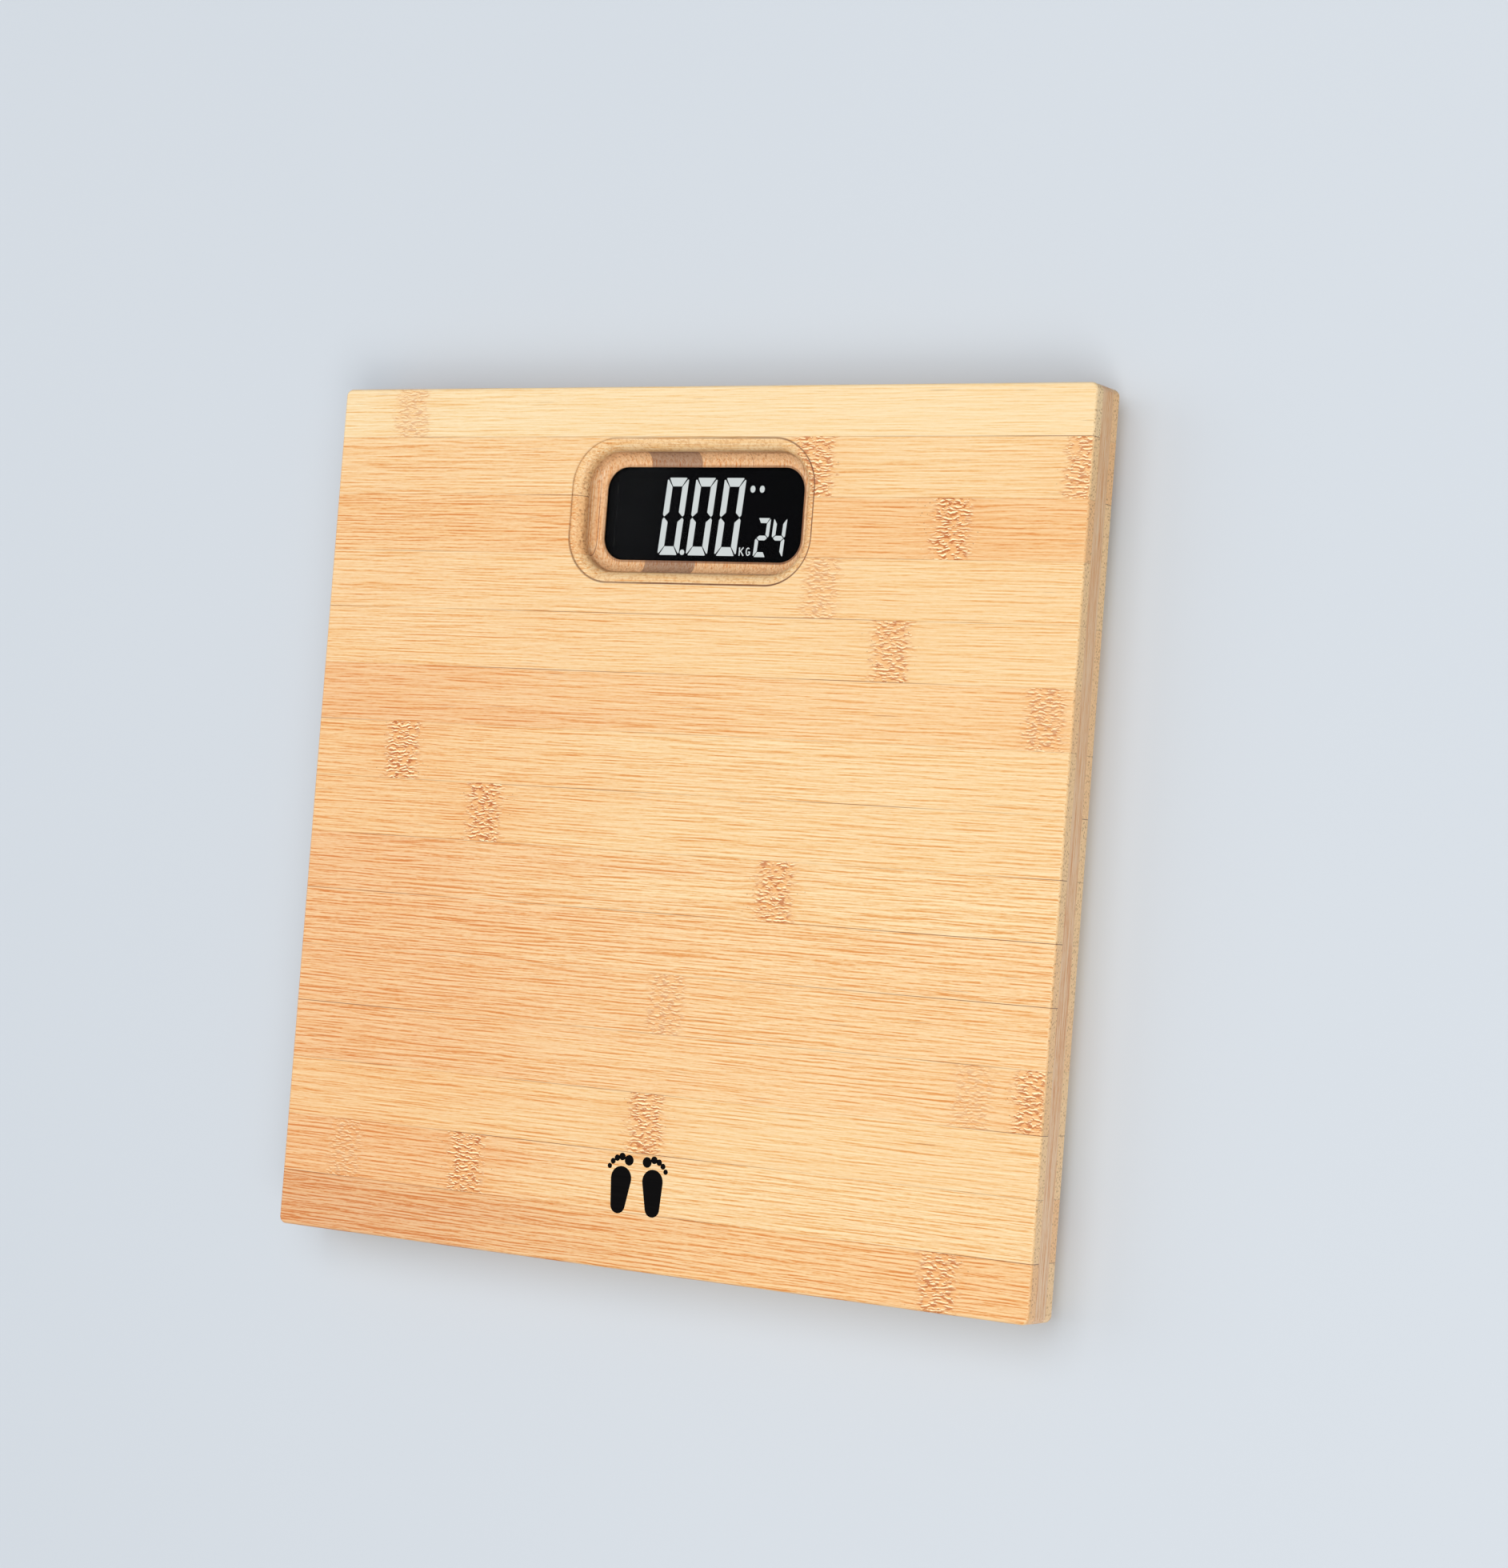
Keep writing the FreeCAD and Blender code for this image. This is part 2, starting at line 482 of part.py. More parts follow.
# ---------------------------------------------------------------- circuit board
def circuit_board():
    board = centred((*BOARD, 1.5), Z_BOARD, Z_BOARD_TOP, (0.0, WINDOW_Y))
    board = board.cut([disc(1.1, Z_BOARD - PAST, Z_BOARD_TOP + PAST, x, y) for x, y in BOARD_SCREWS])
    dome = Part.makeSphere(BLOB_DOME, V(*BLOB_XY, Z_BOARD - BLOB_T + BLOB_DOME))
    blob = dome.common(disc(BLOB_R, Z_BOARD - 2 * BLOB_T, Z_BOARD, *BLOB_XY))
    chips = [slab(x, x + w, y, y + h, Z_BOARD - t, Z_BOARD) for x, y, w, h, t in (
        (-10.0, 112.0, 5.0, 6.0, 1.5),      # load-cell amplifier
        (18.0, 116.0, 3.5, 2.8, 1.9),       # supply capacitor
        (-22.0, 114.0, 3.5, 2.8, 1.9),
        (24.0, 96.0, 3.0, 1.6, 1.1))]       # voltage regulator
    small = [slab(x, x + 2.0, y, y + 1.25, Z_BOARD - 0.6, Z_BOARD)
             for x in (-16.0, -4.0, 2.0, 26.0, 34.0) for y in (92.0, 106.0, 121.0)]
    x, y = SENSOR_XY
    bead = Part.makeSphere(SENSOR_R, V(x, y, Z_BOARD - SENSOR_DROP))
    legs = [disc(0.2, Z_BOARD - SENSOR_DROP, Z_BOARD, x + s, y) for s in (-0.6, 0.6)]
    switch = centred((2 * SWITCH_HALF, 2 * SWITCH_HALF, 0.5), Z_BOARD - SWITCH_T, Z_BOARD, BUTTON_XY)
    switch = switch.cut(disc(PLUNGER_R + 0.1, Z_BOARD - 2, Z_BOARD - 0.9, *BUTTON_XY))
    plunger = disc(PLUNGER_R, Z_BOARD - PLUNGER_OUT, Z_BOARD - 1.2, *BUTTON_XY)
    screw = pan_screw(0, shank_r=0.8, head_r=1.9, head_t=1.1, long=3.2)
    return {
        "main_board": board, "controller_chip": blob,
        "board_components": Part.makeCompound(chips + small),
        "temperature_sensor": joined([bead] + legs),
        "unit_switch": switch, "unit_switch_plunger": plunger,
        "board_screws": at_each(turned_over(screw, Z_BOARD_TOP), BOARD_SCREWS),
    }


def turned_over(shape, z):
    """A copy that points down instead of up, its origin moved to height z."""
    copy = shape.copy()
    copy.rotate(V(0, 0, 0), V(1, 0, 0), 180)
    copy.translate(V(0, 0, z))
    return copy


def unit_button():
    """The button that changes between kilograms, pounds and stones."""
    z_tip, z_top = Z_TRAY - BUTTON_PROUD, Z_BOARD - PLUNGER_OUT
    head = disc(BUTTON_R, z_tip, z_top, *BUTTON_XY)
    head = head.makeFillet(0.5, edges_at(head, z_tip))
    return joined([head, disc(BUTTON_R + BUTTON_FLANGE, Z_FLOOR + TOUCH, z_top, *BUTTON_XY)])


# ---------------------------------------------------------------- housing and battery compartment
def electronics_housing():
    y0, y1 = HOUSING_Y
    tray = slab(-HOUSING_X, HOUSING_X, y0, y1, Z_TRAY, Z_BASE, TRAY_R)
    tray = tray.makeFillet(1.2, edges_at(tray, Z_TRAY))
    w = TRAY_WALL
    half = HOUSING_X - w
    tray = tray.cut(slab(-half, half, y0 + w, y1 - w, Z_FLOOR, Z_BASE + PAST, TRAY_R - w))

    shell = trough_block(TROUGH_WALL, Z_TROUGH, Z_TROUGH_TOP + TROUGH_ROOF, 1.5)
    collar = trough_block(TROUGH_WALL + COLLAR_W, Z_TROUGH, Z_BASE + 0.3, 2.0)
    bosses = [disc(BOSS_SCREW_R, Z_TRAY, Z_BASE, x, y) for x, y in HOUSING_SCREWS]
    posts = [disc(POST_R, Z_TRAY + 0.5, Z_BOARD, x, y) for x, y in BOARD_SCREWS]
    body = joined([tray, shell, collar] + bosses + posts)

    latch_low, latch_high = TROUGH_MID_Y - LATCH_HALF, TROUGH_MID_Y + LATCH_HALF
    cuts = [
        trough_block(0.0, Z_TROUGH - PAST, Z_TROUGH_TOP, 0.8),
        trough_block(TROUGH_WALL + DOOR_GAP, Z_TRAY - PAST, Z_TROUGH),
        slab(DOOR_X, DOOR_X + LATCH_DENT, latch_low, latch_high, Z_TRAY - PAST, Z_TRAY + 0.9, 0.8),
        disc(BUTTON_HOLE_R, Z_TRAY - PAST, Z_FLOOR + PAST, *BUTTON_XY),
    ]
    bore = HINGE_PIN_R + 0.1
    for y in (DOOR_Y[0] - DOOR_GAP - bore, DOOR_Y[1] + DOOR_GAP + bore):
        socket = slab(HINGE_X - bore, HINGE_X + bore, y - 0.65, y + 0.65, HINGE_Z - bore, HINGE_Z + 0.8)
        cuts.append(socket)
    for x, y in HOUSING_SCREWS:
        cuts.append(disc(HEAD_R + 0.4, Z_TRAY - PAST, Z_FLOOR, x, y))
        cuts.append(disc(SCREW_HOLE_R, Z_TRAY, Z_BASE + PAST, x, y))
    for x, y in BOARD_SCREWS:
        cuts.append(disc(0.85, Z_FLOOR + 0.2, Z_BOARD + PAST, x, y))
    x, y = SENSOR_XY
    for along in (y - VENT_PITCH, y, y + VENT_PITCH):
        cuts.append(slab(x - VENT_HALF_X, x + VENT_HALF_X, along - VENT_HALF_Y, along + VENT_HALF_Y,
                         Z_TRAY - PAST, Z_FLOOR + PAST, 0.5))
    for y in (cell_y(-1), cell_y(1)):                           # ways out for the contacts' tails
        cuts.append(slab(-DOOR_X - PAST, PAST - TROUGH_X, y - 1.5, y + 1.5, LEAD_Z - 0.5, LEAD_Z + 0.5))
    return body.cut(cuts)


def trough_block(by, z0, z1, r=0.0):
    """The battery compartment's outline moved outwards, as a block."""
    low, high = TROUGH_Y
    return slab(-TROUGH_X - by, TROUGH_X + by, low - by, high + by, z0, z1, r)


def cell_y(side):
    return TROUGH_MID_Y + side * CELL_PITCH / 2


def battery_door():
    """A snap-in door that swings down on two pins; its latch tongue is cut free on two sides."""
    y0, y1 = DOOR_Y
    z1 = Z_TRAY + DOOR_T
    plate = slab(-DOOR_X, DOOR_X, y0, y1, Z_TRAY, z1)
    ends = [e for e in plate.Edges if e.BoundBox.XMax < -DOOR_X + 0.01 and e.BoundBox.YLength > 1]
    plate = plate.makeFillet(DOOR_T / 2 - 0.01, ends)
    pin_start = V(HINGE_X, y0 - HINGE_PIN, HINGE_Z)
    pins = Part.makeCylinder(HINGE_PIN_R, y1 - y0 + 2 * HINGE_PIN, pin_start, V(0, 1, 0))
    mid = TROUGH_MID_Y
    nose = slab(DOOR_X - PAST, DOOR_X + DOOR_GAP - 0.1, mid - NOSE_HALF, mid + NOSE_HALF,
                z1 - 0.1 - NOSE_T, z1 - 0.1)
    grips = [slab(x, x + GRIP_W, mid - GRIP_HALF, mid + GRIP_HALF, Z_TRAY - GRIP_PROUD, Z_TRAY + 0.2)
             for x in GRIP_X]
    door = joined([plate, pins, nose] + grips)
    slots = []
    for y in (mid - LATCH_HALF, mid + LATCH_HALF):
        slots.append(slab(DOOR_X - LATCH_LONG, DOOR_X + PAST, y - LATCH_SLOT / 2, y + LATCH_SLOT / 2,
                          Z_TRAY - PAST, z1 + PAST))
    return door.cut(slots)


def battery(side):
    """One AAA cell. The cell at side -1 has its nub towards -X, the other towards +X."""
    body = Part.makeCylinder(CELL_R, CELL_BODY, V(0, 0, 0), V(1, 0, 0))
    rims = [e for e in body.Edges if e.BoundBox.XLength < 0.01]
    nub = Part.makeCylinder(NUB_R, NUB, V(-NUB, 0, 0), V(1, 0, 0))
    cell = joined([body.makeFillet(0.5, rims), nub])
    if side > 0:
        cell.rotate(V(0, 0, 0), UP, 180)
    cell.translate(V(side * (TROUGH_X - CELL_INSET - NUB), cell_y(side), CELL_Z))
    return cell


def contact_spring(side):
    """A conical coil from the end wall to a cell's flat end, made of half rings end to end."""
    plate = TROUGH_X - CONTACT_T
    flat_end = TROUGH_X - CELL_INSET - NUB - CELL_BODY
    room = plate + flat_end - 2 * SPRING_WIRE_R - 2 * TOUCH
    points = []
    for k in range(SPRING_HALF_TURNS + 1):
        along = k / SPRING_HALF_TURNS
        points.append(V((SPRING_WIDE - SPRING_TAPER * along) * (-1) ** k, 0, room * along))
    rings = []
    for k, (a, b) in enumerate(zip(points, points[1:])):
        section = Part.Face(Part.Wire(Part.makeCircle(SPRING_WIRE_R, a, V(0, 1, 0))))
        rings.append(section.revolve((a + b) / 2, (a - b).cross(V(0, (-1) ** k, 0)), 180))
    coil = joined(rings)
    coil.rotate(V(0, 0, 0), V(0, 1, 0), 90 * side)
    coil.translate(V(-side * (plate - SPRING_WIRE_R - TOUCH), cell_y(side), CELL_Z))
    return coil


def contact_plate(x_side, y0, y1):
    outer, inner = x_side * TROUGH_X, x_side * (TROUGH_X - CONTACT_T)
    return slab(min(outer, inner), max(outer, inner), y0, y1, CELL_Z - PLATE_HALF, CELL_Z + PLATE_HALF)


def contact_tail(side):
    """The strip that reaches out through the compartment's wall to its lead."""
    y, half = cell_y(side), CONTACT_T / 2
    end = BATTERY_LEAD_X[side] - LEAD_R
    return slab(end, 0.1 - TROUGH_X, y - TAIL_W, y + TAIL_W, LEAD_Z - half, LEAD_Z + half)


def dimple(side):
    """The raised spot on a plate that meets a cell's nub."""
    spot = Part.makeCone(2.2, 1.2, CELL_INSET - CONTACT_T - TOUCH, V(0, 0, 0), V(1, 0, 0))
    if side > 0:
        spot.rotate(V(0, 0, 0), UP, 180)
    spot.translate(V(side * (TROUGH_X - CONTACT_T), cell_y(side), CELL_Z))
    return spot


def battery_compartment():
    near, far = cell_y(-1), cell_y(1)
    half = PLATE_HALF
    positive = joined([contact_plate(-1, near - half, near + half), dimple(-1), contact_tail(-1)])
    negative = joined([contact_plate(-1, far - half, far + half), contact_tail(1)])
    bridge = joined([contact_plate(1, near - half, far + half), dimple(1)])
    leads = [round_lead([V(x, cell_y(side) + TAIL_W, LEAD_Z), V(x, LEAD_END_Y, LEAD_Z)], REAR_BEND)
             for side, x in BATTERY_LEAD_X.items()]
    screw = pan_screw(Z_FLOOR)
    return {
        "battery_1": battery(-1), "battery_2": battery(1), "battery_door": battery_door(),
        "positive_contact": positive,
        "negative_contact": Part.makeCompound([negative, contact_spring(1)]),
        "bridge_contact": Part.makeCompound([bridge, contact_spring(-1)]),
        "battery_leads": Part.makeCompound(leads),
        "electronics_housing": electronics_housing(),
        "housing_screws": at_each(screw, HOUSING_SCREWS),
        "unit_button": unit_button(),
    }


# ---------------------------------------------------------------- the whole scale
def main():
    os.makedirs("parts", exist_ok=True)
    nodes = {**platform(), **feet(), **display(), **circuit_board(), **battery_compartment()}
    for name, shape in nodes.items():
        shape.exportStep(f"parts/{name}.step")
        solids = shape.Solids
        print(f"{name:28s} {len(solids):2d} solid(s) {sum(s.Volume for s in solids) / 1000:9.3f} cm3"
              f" {'ok' if all(s.isValid() for s in solids) else 'INVALID'}")
    print(len(nodes), "nodes")


main()
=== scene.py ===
"""The digital bathroom scale's looks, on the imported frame: bamboo, the black window and its figures, the underside.

Metres, in the CAD model's frame: the origin is on the floor under the platform's middle, +Z is up and +Y points to
the edge with the display. Lengths below are written in millimetres and multiplied by MM.
"""
import math

import bmesh
import bpy
from mathutils import Matrix, Vector


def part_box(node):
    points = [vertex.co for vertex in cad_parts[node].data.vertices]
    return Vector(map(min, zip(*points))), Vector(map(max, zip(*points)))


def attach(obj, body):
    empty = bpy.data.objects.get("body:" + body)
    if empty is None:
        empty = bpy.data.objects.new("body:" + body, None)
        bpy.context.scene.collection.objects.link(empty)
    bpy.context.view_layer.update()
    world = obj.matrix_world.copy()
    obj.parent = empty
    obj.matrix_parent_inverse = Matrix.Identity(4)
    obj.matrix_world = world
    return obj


MM = 0.001
FOOT_NAMES = ("front_left", "front_right", "rear_left", "rear_right")

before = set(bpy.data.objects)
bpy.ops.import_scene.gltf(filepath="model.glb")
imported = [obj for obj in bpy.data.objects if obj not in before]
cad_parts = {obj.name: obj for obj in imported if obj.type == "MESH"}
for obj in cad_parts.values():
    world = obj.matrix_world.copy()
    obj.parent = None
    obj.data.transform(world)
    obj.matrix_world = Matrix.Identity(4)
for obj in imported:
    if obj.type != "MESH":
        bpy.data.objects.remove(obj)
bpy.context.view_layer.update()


# ---------------------------------------------------------------- materials: a small kit
def colour(r, g, b):
    """A linear colour from the usual 0-255 values."""
    return tuple(((c / 255 + 0.055) / 1.055) ** 2.4 if c > 10 else c / 3295 for c in (r, g, b)) + (1.0,)


class Shader:
    """One material. Its methods add a node and return that node's output."""

    def __init__(self, name):
        self.material = bpy.data.materials.new(name)
        self.material.use_nodes = True
        self.tree = self.material.node_tree
        self.surface = self.tree.nodes["Principled BSDF"]

    def node(self, kind, **settings):
        node = self.tree.nodes.new("ShaderNode" + kind)
        for key, value in settings.items():
            setattr(node, key, value)
        return node

    def put(self, socket, value):
        if isinstance(value, bpy.types.NodeSocket):
            self.tree.links.new(value, socket)
        else:
            socket.default_value = value

    def math(self, operation, a, b=0.0, clamp=False):
        node = self.node("Math", operation=operation, use_clamp=clamp)
        self.put(node.inputs[0], a)
        self.put(node.inputs[1], b)
        return node.outputs[0]

    def total(self, first, *rest):
        for value in rest:
            first = self.math("ADD", first, value)
        return first

    def times(self, a, b):
        return self.math("MULTIPLY", a, b)

    def vector(self, x=0.0, y=0.0, z=0.0):
        node = self.node("CombineXYZ")
        for socket, value in zip(node.inputs, (x, y, z)):
            self.put(socket, value)
        return node.outputs[0]

    def split(self, vector):
        node = self.node("SeparateXYZ")
        self.put(node.inputs[0], vector)
        return node.outputs

    def place(self):
        """Where the point is in the row frame, in millimetres."""
        node = self.node("VectorMath", operation="SCALE")
        self.put(node.inputs[0], self.node("TexCoord").outputs["Object"])
        node.inputs["Scale"].default_value = 1 / MM
        return node.outputs[0]

    def noise(self, vector, scale=1.0, detail=2.0, roughness=0.5, distortion=0.0, centred=False):
        node = self.node("TexNoise")
        self.put(node.inputs["Vector"], vector)
        node.inputs["Scale"].default_value = scale
        node.inputs["Detail"].default_value = detail
        node.inputs["Roughness"].default_value = roughness
        node.inputs["Distortion"].default_value = distortion
        return self.math("SUBTRACT", node.outputs[0], 0.5) if centred else node.outputs[0]

    def cells(self, vector, scale=1.0, output="Distance"):
        node = self.node("TexVoronoi")
        self.put(node.inputs["Vector"], vector)
        node.inputs["Scale"].default_value = scale
        return node.outputs[output]

    def step(self, value, low, high):
        """0 below low, 1 above high and smooth between them; low may be the greater of the two."""
        node = self.node("MapRange", interpolation_type="SMOOTHSTEP")
        flip = low > high
        self.put(node.inputs["Value"], value)
        node.inputs["From Min"].default_value = min(low, high)
        node.inputs["From Max"].default_value = max(low, high)
        node.inputs["To Min"].default_value = 1.0 if flip else 0.0
        node.inputs["To Max"].default_value = 0.0 if flip else 1.0
        return node.outputs[0]

    def ramp(self, factor, stops, interpolation="LINEAR"):
        """stops are (position, colour); returns the ramp's node."""
        node = self.node("ValToRGB")
        band = node.color_ramp
        band.interpolation = interpolation
        while len(band.elements) < len(stops):
            band.elements.new(1.0)
        for element, (position, value) in zip(band.elements, stops):
            element.position = position
            element.color = value
        self.put(node.inputs[0], factor)
        return node

    def mix(self, factor, a, b, blend="MIX"):
        node = self.node("Mix", data_type="RGBA", blend_type=blend)
        self.put(node.inputs["Factor"], factor)
        self.put(node.inputs[6], a)
        self.put(node.inputs[7], b)
        return node.outputs[2]

    def bump(self, height, strength, depth):
        """A relief of the given depth in millimetres."""
        node = self.node("Bump")
        node.inputs["Strength"].default_value = strength
        node.inputs["Distance"].default_value = depth * MM
        self.put(node.inputs["Height"], height)
        return node.outputs[0]

    def done(self, **inputs):
        """Sets the surface's inputs, named as in the shader with underscores for spaces."""
        for key, value in inputs.items():
            self.put(self.surface.inputs[key.replace("_", " ")], value)
        return self.material


# ---------------------------------------------------------------- bamboo
STRIP = 20.25                     # a bamboo strip's width in the board
FACE_SEAM = 132.6                 # the first seam from the display edge
CORE_SEAM = 140.25                # the first seam of the middle ply, from the right
LANES = 16                        # room for this many strips in a lookup

# Six bamboo tones, lightest first, and which of them each strip of the face has: from the display edge back, the tone
# at the left end, the tone at the right end, and how strongly the fibres show
CREAM, STRAW, HONEY = (253, 224, 176), (251, 213, 160), (250, 207, 153)
GOLD, AMBER, CARAMEL = (248, 199, 142), (245, 191, 136), (234, 176, 124)
FACE_TINTS = [
    (CREAM, CREAM, 0.4), (HONEY, STRAW, 0.7), (GOLD, GOLD, 1.0), (HONEY, STRAW, 0.7), (HONEY, STRAW, 0.7),
    (AMBER, HONEY, 0.9), (GOLD, STRAW, 0.9), (GOLD, STRAW, 0.9), (AMBER, STRAW, 1.2), (AMBER, HONEY, 1.4),
    (AMBER, HONEY, 1.2), (AMBER, HONEY, 1.1), (GOLD, STRAW, 0.8), (AMBER, STRAW, 1.1), (CARAMEL, GOLD, 1.6),
    (GOLD, HONEY, 1.0)]

# A knuckle is where the bamboo's ring was: strip number from the display edge, place along it, and strength
FACE_KNUCKLES = [
    (0, -120, 0.45), (1, 48, 0.9), (1, 148, 0.8), (2, 101, 1.0), (3, 54, 0.5), (4, 82, 0.8), (5, 140, 0.7),
    (6, -112, 1.0), (7, -75, 1.0), (8, 45, 0.9), (10, 6, 0.55), (11, 146, 0.9), (11, 124, 0.4), (12, 2, 0.9),
    (13, -71, 1.0), (13, -123, 0.5), (14, 117, 0.9)]
BASE_KNUCKLES = [(i, (i * 97) % 260 - 130, 0.9) for i in range(15)]

# The middle ply: one strip of it, across the window, is darker than the rest
CORE_TINT, CORE_DARK, CORE_DARK_LANE = (240, 194, 146), (180, 144, 116), 7
CORE_TINTS = [(CORE_DARK, CORE_DARK, 1.0) if i == CORE_DARK_LANE + 1 else (CORE_TINT, CORE_TINT, 1.0)
              for i in range(LANES)]

WINDOW_RIM = (48.4, 24.9, 16.8, 107.3)   # the window edge's outline: half sizes, corner radius, and its middle's Y
BEAD, COVE = 4.1, 8.8                    # how far inside that outline the rounded edge and the hollow one end
SHADE_LINE_AT_LENS = COVE - 0.3                # the darkest painted shade line, where the hollow meets the lens
PLATFORM = 300.0                         # a knuckle's place is kept as a share of this

KNUCKLE_FADE, GROUND_FADE = (9.2, 4.2), (30.0, 4.0)      # how far from its middle each is gone, and is full
# The knuckle's own orange ground, then a painted highlight beside each wrinkle, then the wrinkle's dark fibre darkened
# further by its painted shadow
KNUCKLE_GROUND, PAINTED_HIGHLIGHT_DASH, DARK_FIBRE_AND_SHADOW_DASH = (230, 166, 101), (255, 238, 192), (184, 103, 45)
CHECK_BROWN, SPECK_BROWN = (150, 104, 72), (120, 84, 58)
# The last of these is painted shade, for the dark lines along the window edge's steps
SEAM_BROWN, CUT_SEAM_BROWN, PAINTED_SHADE_LINE_BROWN = (136, 84, 46), (120, 80, 56), (108, 62, 32)


def knuckle_table(knuckles):
    """For each strip, up to two knuckles: both places, as shares of the platform, and both strengths."""
    table = [[0.0, 0.0, 0.0, 0.0] for _ in range(LANES)]
    for strip, place, strength in knuckles:
        row = table[strip]
        slot = 1 if row[2] else 0
        row[slot] = place / PLATFORM + 0.5
        row[slot + 2] = strength
    return table


class Board(Shader):
    """A ply's material. u runs along its strips and v across them, in millimetres; bent is v as the fibres bend."""

    def __init__(self, name, first_seam, crosswise, seed):
        super().__init__(name)
        self.x, self.y, self.z = self.split(self.place())
        self.u, self.v = (self.y, self.x) if crosswise else (self.x, self.y)
        self.bent = self.v
        self.crosswise, self.seed = crosswise, seed
        self.row = self.math("DIVIDE", self.math("SUBTRACT", first_seam, self.v), STRIP)
        self.lane = self.math("DIVIDE", self.math("ADD", self.math("FLOOR", self.row), 1.5), LANES)
        self.start = self.total(self.times(self.lane, 311.7), seed)

    def each_lane(self, values):
        """A ramp that holds one colour for each strip."""
        return self.ramp(self.lane, [(i / LANES, value) for i, value in enumerate(values)], "CONSTANT")

    def fibres(self, long, fine, shift, detail=3.0, roughness=0.55, beside=0.0, distortion=0.0):
        """Noise drawn out along the strip: cells are long by fine millimetres, read beside millimetres away."""
        across = self.total(self.bent, beside) if beside else self.bent
        way = self.vector(self.total(self.math("DIVIDE", self.u, long), self.start, shift),
                          self.math("DIVIDE", across, fine), self.math("DIVIDE", self.z, fine))
        return self.noise(way, detail=detail, roughness=roughness, distortion=distortion, centred=True)

    def grain(self, long, fine, gap, shift):
        """Fibres that each have a light flank and a dark one, gap millimetres apart."""
        return self.math("SUBTRACT", self.fibres(long, fine, shift), self.fibres(long, fine, shift, beside=gap))

    def threads(self, long, apart, shift):
        """Straight thin lines, 1 on a line and 0 beside it, each fading in and out along its way."""
        line = self.step(self.fibres(190.0, apart, shift, detail=1.5), 0.02, 0.12)
        fade = self.step(self.fibres(long, apart * 1.6, shift + 3.0, detail=1.0), -0.06, 0.12)
        return self.times(line, fade)

    def multiplied(self, a, b):
        return self.mix(1.0, a, b, "MULTIPLY")


def knuckle_masks(b, knuckles):
    """Where the knuckles are, ragged at their borders, and the wider ground that each one disturbs."""
    found = b.each_lane(knuckle_table(knuckles))
    first, second, strength = b.split(found.outputs["Color"])
    ragged = b.times(b.fibres(4.0, 1.9, 0.0, detail=2.0), 10.0)
    bands, grounds = [], []
    for place, weight in ((first, strength), (second, found.outputs["Alpha"])):
        where = b.times(b.math("SUBTRACT", place, 0.5), PLATFORM)
        away = b.math("ABSOLUTE", b.total(b.math("SUBTRACT", b.u, where), ragged))
        bands.append(b.times(b.step(away, *KNUCKLE_FADE), weight))
        grounds.append(b.times(b.step(away, *GROUND_FADE), weight))
    return b.math("MAXIMUM", *bands), b.math("MAXIMUM", *grounds)


def bend_fibres(b, knuckle, near):
    """Slow waves bend the fibres, more so near a knuckle, and short ones curl them inside it."""
    bend = b.times(b.fibres(38.0, 9.0, 5.0, detail=1.0), b.total(b.times(near, 2.0), 0.55))
    curl = b.times(b.fibres(3.4, 2.6, 9.0, detail=1.0), b.times(knuckle, 1.2))
    b.bent = b.total(b.v, bend, curl)


def fibre_tone(b, broad, contrast):
    """How light the fibres are, from dark at 0 to light at 1."""
    lines = b.total(b.times(b.threads(34.0, 0.62, 13.0), 0.38), b.times(b.threads(17.0, 0.44, 23.0), 0.36))
    medium = b.grain(46.0, 0.52, 0.68, 31.0)
    fine = b.grain(17.0, 0.35, 0.56, 47.0)
    short = b.fibres(2.2, 0.45, 59.0, detail=2.0)
    swing = b.total(b.times(broad, 0.06), medium, b.times(fine, 2.3), b.times(short, 0.9), b.times(lines, -1.0), 0.11)
    return b.total(b.times(swing, contrast), 0.52)


def fibre_colours(b, tone):
    """Dark fibres are orange and light ones pale; all of them multiply the strip's own colour."""
    return b.ramp(tone, [
        (0.0, (0.65, 0.385, 0.175, 1)), (0.24, (0.72, 0.54, 0.345, 1)), (0.42, (0.783, 0.73, 0.62, 1)),
        (0.56, (0.80, 0.80, 0.80, 1)), (0.78, (0.825, 0.885, 0.955, 1)), (1.0, (0.85, 0.97, 1.08, 1))]).outputs[0]


def warm_patches(b, wood, side, near):
    """Deeper orange in patches, most of them on the left, and round the knuckles."""
    patch = b.times(b.step(b.fibres(44.0, 4.2, 97.0, detail=2.0), -0.02, 0.16), b.total(b.times(side, -0.45), 0.85))
    wood = b.mix(patch, wood, b.multiplied(wood, (0.99, 0.945, 0.87, 1)))
    shade = b.times(near, b.total(b.times(patch, 0.35), 0.22))
    return b.mix(shade, wood, b.multiplied(wood, (0.97, 0.86, 0.76, 1)))


def draw_knuckles(b, wood, knuckle):
    """Short curly dashes: dark fibres deepened with painted shadow, each with a painted highlight beside it, as if the
    wrinkles were lit. Returns the colour and a relief.
    """
    # The light noise, read half a millimetre beside the dark one, places the painted highlights next to the dark dashes
    dark, light = [b.fibres(2.7, 0.58, 71.0, detail=2.0, roughness=0.5, beside=beside, distortion=0.2)
                   for beside in (0.0, -0.50)]
    dark_fibre_and_shadow_dash = b.times(b.step(dark, -0.005, 0.065), knuckle)
    painted_highlight_dash = b.times(b.step(light, 0.02, 0.09), knuckle)
    wood = b.mix(b.times(knuckle, 0.58), wood, colour(*KNUCKLE_GROUND))
    # A painted highlight, then the dark fibre with its painted shadow
    wood = b.mix(b.times(painted_highlight_dash, 0.96), wood, colour(*PAINTED_HIGHLIGHT_DASH))
    wood = b.mix(b.times(dark_fibre_and_shadow_dash, 0.98), wood, colour(*DARK_FIBRE_AND_SHADOW_DASH))
    return wood, b.math("SUBTRACT", painted_highlight_dash, dark_fibre_and_shadow_dash)


